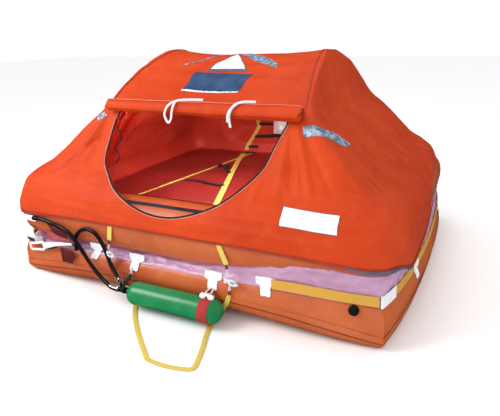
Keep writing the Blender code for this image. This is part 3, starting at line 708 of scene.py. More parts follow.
# %% The rings
def tube_ring(name, centre, pinch, press, node, sides=64):
    """A ring whose section is a circle, pulled towards a square at its low outer side near a
    corner, with small puckers that fade along the side."""
    side, t = (row[:, None] for row in side_places(120))
    angle = np.linspace(0, 2 * math.pi, sides, endpoint=False)[None, :]
    across, up = np.cos(angle), np.sin(angle)
    squared = (across > 0) & (up < 0)
    power = np.where(squared, 2 / (2 + pinch * t**4 + press * left_front(side, t)), 1.0)
    across = np.sign(across) * np.abs(across) ** power
    up = np.sign(up) * np.abs(up) ** power
    side, t, across, up = np.broadcast_arrays(side, t, across, up)
    points = ring_place(side, t, TUBE - TUBE * across, centre + TUBE * up)
    near = np.clip((np.abs(t) - 0.8) / 0.2, 0, 1) ** 2
    pucker = 0.0022 * near * np.sin(60 * t + 3 * np.sin(2 * angle)) * (across > -0.3)
    pucker += 0.0016 * noise(points, 0.16, 1) + 0.0007 * noise(points, 0.05, 2)
    points = points + normals_of(points, around=True, closed=True) * (pucker - 0.0016)[..., None]
    points[..., 2] = np.maximum(points[..., 2], 0.0002)
    return grid_piece(name, points, TUBES, [node], around=True, closed=True)


rings = [
    tube_ring("lower_ring_tube", TUBE, CORNER_PINCH, 0.0, "lower_tube"),
    tube_ring("upper_ring_tube", 3 * TUBE + 0.0006, 0.0, 0.8, "upper_tube"),
]
print("rings:", [len(ring.data.polygons) for ring in rings], "faces")

# %% [markdown]
# ## The coupling band
# The notch between the rings is bridged by a thin coated film, loose enough to crumple. It is
# pale lilac where the light passes through. A cloth simulation could crumple it, but would
# take long and come out differently each time. Here a taut shape and a slack one are blended,
# and ridges of noise, one minus the size of a random value, give the small sharp creases.

# %% The band between the rings
# inset and height of the film's face from the lower ring up, drawn taut and hanging slack
TAUT = mm(((26.5, 203.6), (28.5, 230), (29, 260), (16.1, 316.4), (5, 360), (30, 376)))
SLACK = mm(((26.5, 203.6), (40, 219), (56, 237), (68, 248), (85, 257), (115, 260)))


def band_place(side, t, height, lift):
    """The band's outer face at a height: an inset read off the taut face's knots, less the lift."""
    insets, heights = TAUT[:5].T
    return ring_place(side, t, np.interp(height, heights, insets) - lift, height)


def thicken(piece, thickness, offset):
    """Give a sheet a thickness, inwards for an offset of -1 and to both sides for 0."""
    wall = piece.modifiers.new("thickness", "SOLIDIFY")
    wall.thickness, wall.offset = thickness, offset


def stretch_of(side, t):
    """How far the film bulges out of the notch: a little at the left, fully at the right front."""
    front = 0.05 + 0.95 * smooth((t - 0.1) / 0.68)
    right = 1.0 - 0.2 * np.clip((t + 0.2) / 1.2, 0, 1)
    back = 0.8 - 0.1 * (t + 1)
    left = 0.6 - 0.275 * (t + 1)
    return np.choose(side, [front, right, back, left])


def make_band():
    """The film between its taut and its slack shape, crumpled by random ridges, less so where
    the grab line holds it and at its two edges."""
    side, t = (row[:, None] for row in side_places(300))
    share = np.linspace(0, 1, 26)[None, :]
    side, t, share = np.broadcast_arrays(side, t, share)
    stretch = stretch_of(side, t)
    (taut_in, taut_up), (slack_in, slack_up) = (
        [np.interp(share * 5, np.arange(6), table[:, k]) for k in range(2)] for table in (TAUT, SLACK)
    )
    inset = stretch * taut_in + (1 - stretch) * slack_in - 0.004
    height = stretch * taut_up + (1 - stretch) * slack_up
    points = ring_place(side, t, inset, height)
    stretched = points * (1.0, 1.0, 2.2)
    ridges = 1 - np.abs(noise(stretched, 0.075, 3)) * 2.2
    small = 1 - np.abs(noise(stretched, 0.03, 4)) * 2.2
    tent = np.clip(share / 0.15, 0, 1) * np.clip((1 - share) / 0.12, 0, 1)
    held = 1 - stretch * np.exp(-(((height - 0.239) / 0.024) ** 4))
    lift = tent * (0.35 + 0.65 * held) * (0.0055 * np.maximum(ridges, 0) + 0.0022 * np.maximum(small, 0))
    points = points + normals_of(points, closed=True) * lift[..., None]
    piece = grid_piece("coupling_band_film", points, BAND, ["coupling_band"], closed=True)
    thicken(piece, 0.0012, -1)
    return piece


coupling = make_band()
print("band film:", len(coupling.data.polygons), "faces")

# %% [markdown]
# ## The canopy
# The tent is one continuous skin, drawn over the upper ring down to a hem, up a front slope
# with the entrance in it, and over two arches to a ridge. Each level from hem to ridge is a
# superellipse: its length, width, height, and how square it is are read off a table, blended
# smoothly between its rows. Creases are bell curves along lines, added along the surface's
# normals. Simulated cloth would need the outline and the entrance fitted again after each run;
# this way both stay where the camera says they are.

# %% The canopy's levels
LEVELS = np.array((
    # half length, half width, height mid-side, height at a corner, share of the bow, squareness
    (1.107, 0.977, 0.412, 0.38, 1.0, 12.8),
    (1.108, 0.978, 0.437, 0.428, 1.0, 12.8),
    (1.104, 0.975, 0.465, 0.478, 1.0, 11.0),
    (1.082, 0.955, 0.525, 0.56, 0.8, 9.5),
    (1.028, 0.915, 0.585, 0.61, 0.5, 9.0),
    (0.945, 0.855, 0.64, 0.66, 0.2, 10.0),
    (0.835, 0.775, 0.73, 0.75, 0.1, 15.0),
    (0.72, 0.705, 0.835, 0.85, 0.0, 30.0),
    (0.62, 0.635, 0.94, 0.94, 0.0, 40.0),
    (0.595, 0.56, 1.0, 1.005, 0.0, 40.0),
    (0.565, 0.4, 1.09, 1.11, 0.0, 40.0),
    (0.54, 0.22, 1.165, 1.19, 0.0, 40.0),
    (0.515, 0.085, 1.199, 1.232, 0.0, 30.0),
    (0.5, 0.03, 1.206, 1.236, 0.0, 20.0),
    (0.495, 0.004, 1.207, 1.237, 0.0, 20.0),
))


def blended_rows(table, at):
    """Table rows at fractional places: a monotone cubic in each column, so nothing overshoots."""
    steps = np.diff(table, axis=0)
    inner = np.where(steps[1:] * steps[:-1] > 0, 2 * steps[1:] * steps[:-1] / (steps[1:] + steps[:-1] + 1e-15), 0)
    slopes = np.concatenate([steps[:1], inner, steps[-1:]])
    k = np.clip(np.floor(at).astype(int), 0, len(table) - 2)
    s = (at - k)[:, None]
    start = table[k] * (1 + 2 * s) * (1 - s) ** 2 + slopes[k] * s * (1 - s) ** 2
    return start + table[k + 1] * s * s * (3 - 2 * s) + slopes[k + 1] * s * s * (s - 1)


def even_levels(count):
    """Places in the table that are an even distance apart along the mid-front line."""
    fine = np.linspace(0, len(LEVELS) - 1, 3000)
    rows = blended_rows(LEVELS, fine)
    line = lengths_along(rows[:, 1:3])
    return np.interp(np.linspace(0, line[-1], count), line, fine)


print("levels:", LEVELS.shape)


# %% The canopy's base surface
CANOPY_ROWS = 124
CANOPY_SIDE = 150


def canopy_base():
    """Points from hem to ridge, by levels and places round."""
    rows = blended_rows(LEVELS, even_levels(CANOPY_ROWS))
    half_x, half_y, middle, corner, bow, power = (rows[:, k][:, None] for k in range(6))
    side, t = (row[None, :] for row in side_places(CANOPY_SIDE))
    flat = rounded_outline(side, t, half_x, half_y, power, bow)
    top = np.clip((middle - 0.94) / 0.26, 0, 1)
    near_end = np.abs(flat[..., 0]) / half_x
    near_side = np.abs(flat[..., 1]) / half_y
    droop = np.clip(near_end, 0, 1.02) ** 4 * ((1 - top) * np.clip(near_side, 0, 1.02) ** 4 + top)
    corner_share = 2 ** (-8 / power)
    droop = droop / ((1 - top) * corner_share + top)
    height = middle + (corner - middle) * droop
    points = np.concatenate([flat, height[..., None]], axis=-1)
    # the back right is drawn in a little, where the end wall leans on its arch
    x, y = points[..., 0], points[..., 1]
    lean = np.clip((y + 0.25) / 1.2, 0, 1) * np.clip(x / 1.1, 0, 1) ** 2
    lean *= np.clip((1.05 - points[..., 2]) / 0.5, 0, 1)
    points[..., 0] -= 0.045 * lean
    # on the right the hem hangs lower and goes round the tube
    share = np.where(side == 1, smooth((t + 0.97) / 0.35) * (1 - 0.5 * smooth((t - 0.6) / 0.4)), 0.0)
    share = share + np.where(side == 2, 0.5 * (1 - smooth((t + 1) / 0.5)), 0.0)
    low = share * np.clip((0.485 - points[..., 2]) / 0.08, 0, 1)
    points[..., 2] -= 0.112 * low
    points[..., 0] += 0.004 * low * np.where(side == 1, 1.0, 0.0)
    return points


canopy_points = canopy_base()
print("canopy grid:", canopy_points.shape, "top:", round(float(canopy_points[..., 2].max()), 3))

# %% The canopy's creases
CREASE_WIDTH, CREASE_HEIGHT = 0.74, 1.85  # factors on the table's last two columns
CREASES = (
    # from, to, width, height: folds that fan out from the roll's right end
    ((555, -640, 930), (700, -860, 620), 22, 10),
    ((560, -630, 930), (820, -860, 600), 20, -8),
    ((575, -620, 930), (930, -780, 620), 24, 9),
    ((530, -650, 900), (610, -900, 560), 18, -7),
    ((600, -560, 930), (960, -600, 640), 26, -7),
    ((520, -660, 880), (540, -930, 530), 16, 6),
    ((540, -655, 915), (655, -885, 585), 15, 6),
    ((585, -610, 925), (875, -820, 610), 16, 6),
    ((470, -760, 790), (640, -960, 520), 16, -5),
    ((440, -800, 730), (420, -975, 500), 16, 5),
    # pulls at the left of the entrance
    ((-440, -860, 640), (-860, -965, 500), 16, 5),
    ((-380, -885, 610), (-640, -980, 470), 16, -5),
    ((-480, -800, 740), (-960, -930, 560), 18, 5),
    ((-560, -640, 930), (-720, -860, 610), 22, 9),
    ((-550, -650, 900), (-620, -900, 560), 18, -7),
    ((-580, -600, 930), (-900, -780, 620), 24, 8),
    ((-530, -700, 840), (-900, -930, 540), 20, -7),
    # long soft pulls above the hem
    ((-900, -970, 500), (-200, -990, 455), 16, 5),
    ((-500, -985, 480), (500, -990, 440), 14, -5),
    ((100, -985, 500), (950, -975, 470), 16, 6),
    ((300, -960, 540), (1000, -930, 560), 20, 6),
    ((-300, -985, 440), (300, -990, 470), 12, 4),
    ((550, -990, 430), (1020, -960, 440), 13, -5),
    # the end walls
    ((1085, -600, 470), (1100, 500, 450), 16, 5),
    ((620, 300, 900), (960, 700, 620), 22, 8),
    ((-620, 300, 900), (-960, 700, 620), 22, 8),
    ((-620, -300, 900), (-960, -600, 640), 22, 7),
    # the back wall
    ((560, 640, 930), (780, 880, 580), 22, 9),
    ((-560, 640, 930), (-780, 880, 580), 22, 9),
    ((-600, 985, 450), (600, 990, 470), 14, 5),
    ((-300, 800, 700), (500, 760, 740), 30, -6),
)


def folded_canopy(points):
    """The base with ripples across the roof, soft random slack, and every crease."""
    out = -normals_of(points, around=True)
    x, y, z = points[..., 0], points[..., 1], points[..., 2]
    roof = np.clip((z - 0.98) / 0.06, 0, 1) * np.clip((1.2 - z) / 0.05, 0, 1)
    lift = roof * 0.0055 * np.sin(y * 46 + 1.2 * np.sin(3 * x)) * np.cos(2.4 * x)
    lift += 0.007 * noise(points, 0.26, 5) * np.clip((z - 0.42) / 0.2, 0.2, 1)
    lift += 0.003 * noise(points, 0.085, 6) + 0.0012 * noise(points, 0.034, 7)
    for start, end, width, height in CREASES:
        lift += crease(points, mm(start), mm(end), CREASE_WIDTH * width / 1000, CREASE_HEIGHT * height / 1000)
    hem = np.clip((z - 0.395) / 0.05, 0, 1)
    return points + out * (lift * hem)[..., None]


canopy_points = folded_canopy(canopy_points)
print("creases:", len(CREASES))

# %% [markdown]
# ## The entrance
# The opening is cut in the grid itself. Corners near the outline are moved onto it, and the
# faces inside it go. Where one corner of a face is inside, the rest of the face stays as a
# triangle, so the edge is smooth. A Boolean cut would do too, but it leaves long thin faces
# that shade badly on soft cloth.

# %% Cut the entrance
ENTRANCE_TOP = 0.955
SNAP = 0.0075  # a corner nearer than this to the outline is moved onto it
ENTRANCE_KNOTS = mm((
    (500, 955), (502, 915), (478, 862), (456, 800), (432, 735), (362, 655),
    (265, 582), (130, 528), (0, 504), (-130, 515), (-290, 571), (-420, 652),
    (-482, 715), (-494, 800), (-490, 880), (-470, 955),
))
ENTRANCE_MIDDLE = np.array([0.0, 0.8])
entrance_line = resample(smooth_route(ENTRANCE_KNOTS, 12), 0.006)


def entrance_radius(angle):
    """Distance from the entrance's middle to its outline, by angle; the top is a straight line."""
    away = entrance_line - ENTRANCE_MIDDLE
    angles = np.unwrap(np.arctan2(away[:, 1], away[:, 0]))
    radii = np.hypot(away[:, 0], away[:, 1])
    order = np.argsort(angles)
    low, high = angles[order[0]], angles[order[-1]]
    angle = np.mod(angle - low, 2 * math.pi) + low
    inside = np.interp(angle, angles[order], radii[order])
    top = (ENTRANCE_TOP - ENTRANCE_MIDDLE[1]) / np.maximum(np.sin(angle), 1e-3)
    return np.where(angle > high, top, inside)


def cut_entrance(points):
    """Grid faces outside the outline, with the points next to it moved onto it."""
    rows, columns = points.shape[:2]
    flat = points.reshape(-1, 3).copy()
    normal = normals_of(points, around=True).reshape(-1, 3)
    away = flat[:, ::2] - ENTRANCE_MIDDLE
    angle, far = np.arctan2(away[:, 1], away[:, 0]), np.hypot(away[:, 0], away[:, 1])
    wanted = entrance_radius(angle)
    front = flat[:, 1] < -0.35
    near = front & (np.abs(far - wanted) < SNAP)
    spot = ENTRANCE_MIDDLE + wanted[:, None] * np.stack([np.cos(angle), np.sin(angle)], axis=1)
    move = spot - flat[:, ::2]
    depth = np.where(np.abs(normal[:, 1]) < 0.2, -0.2, normal[:, 1])
    slope = -(normal[:, 0] * move[:, 0] + normal[:, 2] * move[:, 1]) / depth
    flat[near, 0] += move[near, 0]
    flat[near, 1] += slope[near]
    flat[near, 2] += move[near, 1]
    inside = front & ~near & (far < wanted)
    faces, uv = grid(points, around=True, flip=True)
    faces, uv = np.array(faces), uv.reshape(-1, 4, 2)
    count = inside[faces].sum(axis=1)
    whole, single = count == 0, count == 1
    kept = np.stack([np.roll(np.arange(4), -k)[1:] for k in range(4)])[np.argmax(inside[faces[single]], axis=1)]
    threes = np.take_along_axis(faces[single], kept, axis=1)
    uv3 = np.take_along_axis(uv[single], kept[..., None], axis=1)
    uv = np.concatenate([uv[whole].reshape(-1, 2), uv3.reshape(-1, 2)])
    return flat.reshape(rows, columns, 3), faces[whole].tolist() + threes.tolist(), uv


def ridge_faces(rows, columns):
    """Quads that close the ridge: the last row's front points joined to its back ones."""
    quarter = columns // 4
    front = np.arange(quarter)
    back = 3 * quarter - front
    whole = np.stack([front, front + 1, back - 1, back], axis=1) % columns
    return ((rows - 1) * columns + whole).tolist()


def triangles(points, faces):
    """Corner places of a mesh's triangles; a quad gives two."""
    split = [face[:3] for face in faces] + [face[2:] + face[:1] for face in faces if len(face) == 4]
    return points.reshape(-1, 3)[np.array(split)]


canopy_cut, canopy_faces, canopy_uv = cut_entrance(canopy_points)
closing = ridge_faces(CANOPY_ROWS, 4 * CANOPY_SIDE)
canopy_uv = np.concatenate([canopy_uv, np.zeros((4 * len(closing), 2))])
canopy = add_piece("canopy_tent", canopy_cut, canopy_faces + closing, CANOPY, ["canopy"], canopy_uv, sharp=60)
SHELL = triangles(canopy_cut, canopy_faces)
print("canopy faces:", len(canopy.data.polygons))

# %% [markdown]
# ## Things that lie on the canopy
# Strips, tapes and plates follow the canopy wherever it goes. A flat grid of places is moved
# along a direction until it meets the canopy's triangles, all of them tested at once, and is
# then lifted a little off them. A Shrinkwrap modifier does the same, but the tape would then
# have no thickness and no edges of its own.


# %% Laying a grid on the canopy
def land(places, way, lift, shell=None):
    """Where lines along a way first meet the shell: shares inside each triangle, nearest kept."""
    shell = SHELL if shell is None else shell
    shape = np.shape(places)
    places = np.reshape(places, (-1, 3))
    way = unit(np.asarray(way, dtype=float))
    a = unit(np.cross(way, (0.3, 0.2, 0.9)))
    b = np.cross(way, a)
    flat = np.stack([shell @ a, shell @ b], axis=-1)
    spots = np.stack([places @ a, places @ b], axis=-1)
    outward = np.cross(shell[:, 1] - shell[:, 0], shell[:, 2] - shell[:, 0])
    near = ((flat.max(axis=1) >= spots.min(axis=0)) & (flat.min(axis=1) <= spots.max(axis=0))).all(axis=1)
    near &= outward @ way < 0
    flat, depth, outward = flat[near], (shell @ way)[near], unit(outward[near])
    one, two = flat[:, 1] - flat[:, 0], flat[:, 2] - flat[:, 0]
    size = one[:, 0] * two[:, 1] - one[:, 1] * two[:, 0]
    size = np.where(np.abs(size) < 1e-12, 1e-12, size)
    result, facing = np.empty_like(places), np.empty_like(places)
    for part in np.array_split(np.arange(len(spots)), max(1, len(spots) * len(flat) // 3_000_000)):
        away = spots[part][:, None] - flat[None, :, 0]
        s = (away[..., 0] * two[:, 1] - away[..., 1] * two[:, 0]) / size
        t = (one[:, 0] * away[..., 1] - one[:, 1] * away[..., 0]) / size
        inside = (s >= -1e-6) & (t >= -1e-6) & (s + t <= 1 + 1e-6)
        far = depth[:, 0] + s * (depth[:, 1] - depth[:, 0]) + t * (depth[:, 2] - depth[:, 0])
        far = np.where(inside, far, np.inf)
        best = far.argmin(axis=1)
        rows = np.arange(len(part))
        found = far[rows, best]
        middle = np.median(found[np.isfinite(found)]) if np.isfinite(found).any() else 0.0
        found = np.where(np.isfinite(found), found, middle)
        result[part] = places[part] + (found - places[part] @ way)[:, None] * way
        facing[part] = outward[best]
    return (result + facing * lift).reshape(shape), facing.reshape(shape)


def laid_sheet(name, places, way, thick, finish, lift=0.0006, stands_for=(), shell=None):
    """A grid laid on the canopy and given a thickness, with closed edges."""
    low, facing = land(places, way, lift, shell)
    return slab_grid(name, low, facing, thick, finish, stands_for)


def slab_grid(name, low, facing, thick, finish, stands_for=(), around=False):
    """Two grids a thickness apart, joined round their edges."""
    high = low + facing * thick
    rows, columns = low.shape[:2]
    ahead = np.cross(low[-1, 0] - low[0, 0], low[0, 1 if around else -1] - low[0, 0])
    flip = bool(ahead @ facing[0, 0] < 0)
    top, top_uv = grid(high, around, flip=flip)
    bottom, bottom_uv = grid(low, around, flip=not flip)
    count = rows * columns
    faces = (np.array(top) + count).tolist() + bottom
    sides = []
    for line in edge_lines(rows, columns, around):
        line = np.array([i * columns + j for i, j in line])
        a, b = line[:-1], line[1:]
        quads = np.stack([a, b, b + count, a + count], axis=1)
        sides += (quads[:, ::-1] if flip else quads).tolist()
    uv = np.concatenate([top_uv, bottom_uv, np.zeros((4 * len(sides), 2))])
    points = np.concatenate([low.reshape(-1, 3), high.reshape(-1, 3)])
    return add_piece(name, points, faces + sides, finish, stands_for, uv, 40)


def edge_lines(rows, columns, around):
    """The grid's border as lines of (row, column), in the order that makes walls face outwards."""
    if around:
        turn = list(range(columns)) + [0]
        return [[(0, j) for j in turn[::-1]], [(rows - 1, j) for j in turn]]
    return [
        [(i, 0) for i in range(rows)],
        [(rows - 1, j) for j in range(columns)],
        [(i, columns - 1) for i in range(rows - 1, -1, -1)],
        [(0, j) for j in range(columns - 1, -1, -1)],
    ]


FRONT, DOWN = (0, 1, 0), (0, 0, -1)


def along_outline(line, offsets):
    """Rows of a line in (x, z) and columns at distances to the left of it, as places in front."""
    away = np.gradient(line, axis=0)
    out = unit(np.stack([-away[:, 1], away[:, 0]], axis=1))
    flat = line[:, None] + out[:, None] * np.asarray(offsets)[None, :, None]
    return np.stack([flat[..., 0], np.full(flat.shape[:2], -2.0), flat[..., 1]], axis=-1)


# the entrance's knots run from the top right down and round, so out is to the left of them
PIPING = plain_coat("door_piping", "canopy_cloth", rgb(0.64, 0.25, 0.17), rgb(0.5, 0.14, 0.09), 0.5)
for name, start, end, columns, finish in (
    ("entrance_zip_tape", 0.0005, 0.0085, 3, ZIP),
    ("entrance_grey_edging", 0.0088, 0.0118, 2, (PIPING[0], "white_fabric")),
):
    places = along_outline(entrance_line, np.linspace(start, end, columns))
    laid_sheet(name, places, FRONT, 0.0012, finish)
print("entrance outline:", round(line_length(entrance_line), 2), "m")

# %% [markdown]
# ## The rolled door
# The door flap is rolled up above the entrance. A plain cylinder would look right from afar,
# but the roll's ends show its turns, so it is a sheet wound in a spiral round its own middle.


# %% The roll
ROLL_X, ROLL_Y, ROLL_Z, ROLL_RADIUS, ROLL_HALF = 0.0215, -0.6595, 0.9685, 0.037, 0.578


def make_roll():
    """A spiral: the radius grows evenly with the turn, and swells and sags a little along it."""
    turns = 3.2
    along = np.linspace(-1, 1, 170)[:, None]
    angle = np.linspace(0, 2 * math.pi * turns, 130)[None, :]
    radius = 0.006 + (ROLL_RADIUS - 0.0065) * angle / angle.max()
    x = ROLL_X + (ROLL_HALF - ROLL_X) * along + 0.008 * np.sin(2.4 * angle) * along**8 + 0 * angle
    spot = np.stack([x, np.cos(angle) * 0.05 + 0 * x, np.sin(angle) * 0.05 + 0 * x], axis=-1)
    radius = radius * (1.04 + 0.13 * along + 0.1 * noise(spot, 0.13, 8) + 0.045 * noise(spot, 0.045, 9))
    flatten = 1 - 0.1 * np.clip(np.cos(angle), 0, 1)
    start = 2.2
    y = ROLL_Y + radius * np.cos(angle + start) * flatten
    z = ROLL_Z + radius * np.sin(angle + start) + 0.004 * (along**2 - 0.4)
    points = np.stack([x, y + 0 * x, z], axis=-1)
    reach = np.hypot(points[..., 1] - ROLL_Y, points[..., 2] - ROLL_Z)
    limit = np.minimum(1, ROLL_RADIUS * 1.22 / np.maximum(reach, 1e-6))[..., None]
    middle = np.array([ROLL_Y, ROLL_Z])
    points[..., 1:] = middle + (points[..., 1:] - middle) * limit
    piece = grid_piece("rolled_door", points, CANOPY, ["entrance_roll"], flip=True)
    thicken(piece, 0.0022, 0)
    return points


roll_points = make_roll()
roll_line = np.linalg.norm(np.diff(roll_points[80], axis=0), axis=1).sum()
print("door sheet is", round(float(roll_line), 3), "m long before it is rolled")

# %% [markdown]
# ## The inner tent and the floor
# Inside, an inner wall of the same cloth hangs clear of the arches and closes the room down to
# the floor. It is made like the canopy, from a table of levels. The floor is an inflated
# mattress between the upper ring's walls, of dark red coated cloth: its edge is a half circle
# that follows the ring's own outline, so no gap shows between them.

# %% The inner tent
INNER_ROWS, INNER_SIDE = 60, 70
INNER_LEVELS = np.array((
    # half length, half width, height
    (0.8, 0.668, 0.427),
    (0.822, 0.692, 0.436),
    (0.835, 0.705, 0.5),
    (0.81, 0.69, 0.58),
    (0.745, 0.645, 0.7),
    (0.64, 0.56, 0.8),
    (0.56, 0.49, 0.88),
    (0.5, 0.3, 1.03),
    (0.46, 0.13, 1.115),
    (0.44, 0.02, 1.12),
))


def make_inner_tent():
    """The same kind of levels as the canopy's, slack between its corners, without its front."""
    rows = blended_rows(INNER_LEVELS, np.linspace(0, len(INNER_LEVELS) - 1, INNER_ROWS))
    half_x, half_y, height = (rows[:, k][:, None] for k in range(3))
    side, t = (row[None, :] for row in side_places(INNER_SIDE))
    flat = rounded_outline(side, t, half_x, half_y, 16.0, 0.3)
    points = np.concatenate([flat, (height + 0 * flat[..., 0])[..., None]], axis=-1)
    x, y, z = points[..., 0], points[..., 1], points[..., 2]
    between = np.clip((0.56 - np.abs(x)) / 0.14, 0, 1)
    level = np.clip((z - 0.5) / 0.1, 0, 1) * np.clip((0.92 - z) / 0.3, 0, 1)
    points[..., 1] += 0.15 * np.where(y > 0.3, 1, 0) * between**2 * (3 - 2 * between) * level
    slack = 0.012 * noise(points, 0.22, 10) + 0.004 * noise(points, 0.07, 11)
    slack *= np.clip((points[..., 2] - 0.45) / 0.08, 0, 1)
    points = points + normals_of(points, around=True) * slack[..., None]
    faces, uv = grid(points, around=True)
    faces, uv = np.array(faces), uv.reshape(-1, 4, 2)
    middle = points.reshape(-1, 3)[faces].mean(axis=1)
    doorway = (middle[:, 1] < -0.3) & (np.abs(middle[:, 0]) < 0.62) & (middle[:, 2] < 0.93)
    doorway |= (middle[:, 1] < -0.6) & (middle[:, 2] < 0.62)
    closing = ridge_faces(INNER_ROWS, 4 * INNER_SIDE)
    uv = np.concatenate([uv[~doorway].reshape(-1, 2), np.zeros((4 * len(closing), 2))])
    faces = faces[~doorway].tolist() + [face[::-1] for face in closing]
    return add_piece("inner_tent", points, faces, INSIDE, ["inner_liner"], uv, sharp=60)


inner_tent = make_inner_tent()
print("inner tent faces:", len(inner_tent.data.polygons))


# %% The floor mattress
def make_floor():
    """Rings from the underside's middle out, round the edge and back to the top's middle."""
    edge, steps, low, high = 0.045, 23, 0.3362, 0.4296
    turns = np.linspace(0, math.pi, 13)
    shares, level = np.linspace(0, 1, steps + 1)[:-1], np.zeros(steps)
    out = np.concatenate([shares, np.ones(13), shares[::-1]])[:, None]
    up = np.concatenate([level, (1 - np.cos(turns)) / 2, level + 1])[:, None]
    inset = 0.262 + edge * (1 - np.concatenate([level, np.sin(turns), level]))
    side, t = (row[None, :] for row in side_places(INNER_SIDE))
    flat = upper_outline(side, t, inset[:, None]) * np.maximum(out, 0.002)[..., None]
    z = low + (high - low) * up + 0 * flat[..., 0]
    points = np.concatenate([flat, z[..., None]], axis=-1)
    points[..., 2] -= np.where(up > 0.97, 0.0012 + 0.0012 * noise(points, 0.1, 12), 0)
    faces, uv = capped_grid(points, flip=True)
    return add_piece("floor_mattress", points, faces, FLOOR, ["floor"], uv)


floor_mattress = make_floor()
print("floor faces:", len(floor_mattress.data.polygons))

# %% [markdown]
# ## Webbing and patches round the rings
# A yellow grab line runs round the raft over the band, under a white patch at each corner.
# White T-shaped patches with pinked edges tie the band down to the lower ring. A flat strip
# bent round by hand would cut into the tubes, so each strip is worked out in the rings' own
# numbers: the side, the place along it, and the height.


# %% Strips that follow the outline
def band_strip(name, sides, ts, low, high, lift, thick, finish, stands_for=(), slack=0.0):
    """A closed strip over the band: up its outer face and down its inner one."""
    count = 7
    low, high = (np.broadcast_to(np.asarray(value, dtype=float), np.shape(ts))[:, None] for value in (low, high))
    share = np.linspace(0, 1, count)[None, :]
    share = np.concatenate([share, share[:, ::-1]], axis=1)
    heights = low + (high - low) * share
    lifts = np.concatenate([np.full(count, lift + thick), np.full(count, lift)])[None, :]
    side, t, heights, lifts = np.broadcast_arrays(np.asarray(sides)[:, None], np.asarray(ts)[:, None], heights, lifts)
    wave = slack * noise(np.stack([t * 1.1, side * 1.0, 0 * t], axis=-1), 0.13, 13)
    points = band_place(side, t, heights + wave, 0.004 + lifts + np.abs(wave) * 0.4)
    faces, uv = capped_grid(points)
    return add_piece(name, points, faces, finish, stands_for, uv, 40)


def side_run(side, start, end, count):
    """Side numbers and t along one side."""
    return np.full(count, side), np.linspace(start, end, count)


def corner_run(side, start, count):
    """Side numbers and t round a corner, as far on one side as on the other."""
    ahead = np.linspace(start, 1, count, endpoint=False)
    sides = np.concatenate([np.full(count, side), np.full(count + 1, (side + 1) % 4)])
    return sides, np.concatenate([ahead, -np.concatenate([[1.0], ahead[::-1]])])


LINE_LOW, LINE_HIGH = 0.21, 0.257
for name, side, start in (("front", 0, 0.51), ("right", 1, -0.969), ("back", 2, -0.969), ("left", 3, -0.969)):
    band_strip(
        "grab_line_" + name, *side_run(side, start, 0.985, 90), LINE_LOW, LINE_HIGH, 0.0028, 0.004, GRAB,
        ["lifeline_" + name], 0.0025,
    )
for name, side in (("front_left", 3), ("front_right", 0), ("back_right", 1), ("back_left", 2)):
    sides, ts = corner_run(side, 0.994, 5)
    extra = -np.linspace(0.994, 0.85, 14)[1:]
    sides, ts = np.append(sides, np.full(13, (side + 1) % 4)), np.append(ts, extra)
    jag = 0.0022 * (np.arange(len(ts)) % 2)
    band_strip(
        "corner_tab_" + name, sides, ts, 0.203 + jag, 0.265 - jag, 0.0056, 0.002, WHITE,
        ["corner_patch_" + name],
    )
print("grab lines: 4, corner patches: 4")


# %% Patches on the lower ring
def tube_inset(up):
    """Inset of a ring's outer face, by the height above its middle as a share of its radius."""
    up = np.clip(up, -1, 1)
    return TUBE - TUBE * np.sqrt(np.maximum(1 - up * up, 0))


def outer_place(side, along, z, lift=0.0):
    """A point at a real height on the lower ring or, above its shoulder, on the film over the
    notch. The nominal height is found by repeating h = z - rise + sag(h)."""
    fine = np.linspace(-1, 1, 801)
    half = HALF_X if side % 2 == 0 else HALF_Y
    along, z = np.broadcast_arrays(np.asarray(along, dtype=float), np.asarray(z, dtype=float))
    t = np.interp(along, fine * (half - LOWER_PULL * fine**4), fine)
    side = np.full(np.shape(t), side)
    rise = MID_RISE * (1 - t * t)
    height = z - rise
    for _ in range(12):
        height = z - rise + notch_sag(side, t, 0.03 + 0 * t, height)
    stretch = stretch_of(side, t)
    taut, slack = (np.interp(height, table[:, 1], table[:, 0]) for table in (TAUT, SLACK))
    film = stretch * taut + (1 - stretch) * slack
    tube, above = (tube_inset((height - middle) / TUBE) for middle in (TUBE, 3 * TUBE))
    over = np.minimum(np.minimum(film - 0.0085, above), 0.034)
    return ring_place(side, t, np.where(height > BAND_FOOT, over, tube) - lift, height)


T_ROWS = mm((
    # height below the top, half width
    (0, 47), (4, 48.5), (8, 46.5), (12, 49), (16, 47), (20, 48.8),
    (24, 46.5), (28, 48), (32, 44), (35.5, 33), (37.5, 26.5), (43, 24.8),
    (49, 26.8), (55, 24.6), (61, 26.6), (67, 24.5), (73, 25.8), (78, 23.5),
    (82, 18),
))
T_PATCHES = (
    # name, side, distance from the side's middle, height of the top
    ("patch_front_1", 0, -0.49, 0.274), ("patch_front_2", 0, -0.214, 0.26),
    ("patch_front_3", 0, 0.252, 0.249), ("patch_front_4", 0, 0.529, 0.268),
    ("patch_right_1", 1, -0.505, 0.262), ("patch_right_2", 1, 0.505, 0.262),
    ("patch_left_1", 3, -0.505, 0.262), ("patch_left_2", 3, 0.505, 0.262),
)
drop, halves = T_ROWS.T[..., None]
share = np.linspace(-1, 1, 11)[None, :]
for name, side, middle, top in T_PATCHES:
    height = top - drop + 0.0012 * np.cos(9 * math.pi * share)
    low, high = (outer_place(side, middle + halves * share, height, lift) for lift in (0.0014, 0.0036))
    slab_grid("tee_" + name, low, unit(high - low), 0.0022, WHITE, [name])
print("patches:", len(T_PATCHES))

# %% [markdown]
# ## The ladder's straps
# Each side of the boarding ladder is yellow webbing down from the hem, gathered into a sleeve,
# then a short white cord with a knot in it, a second sleeve, and the loop's own webbing. A
# sleeve is a profile turned about a line, as on a lathe, and the webbing is a section swept
# along a route, with a width at each knot, because it narrows where it is gathered.


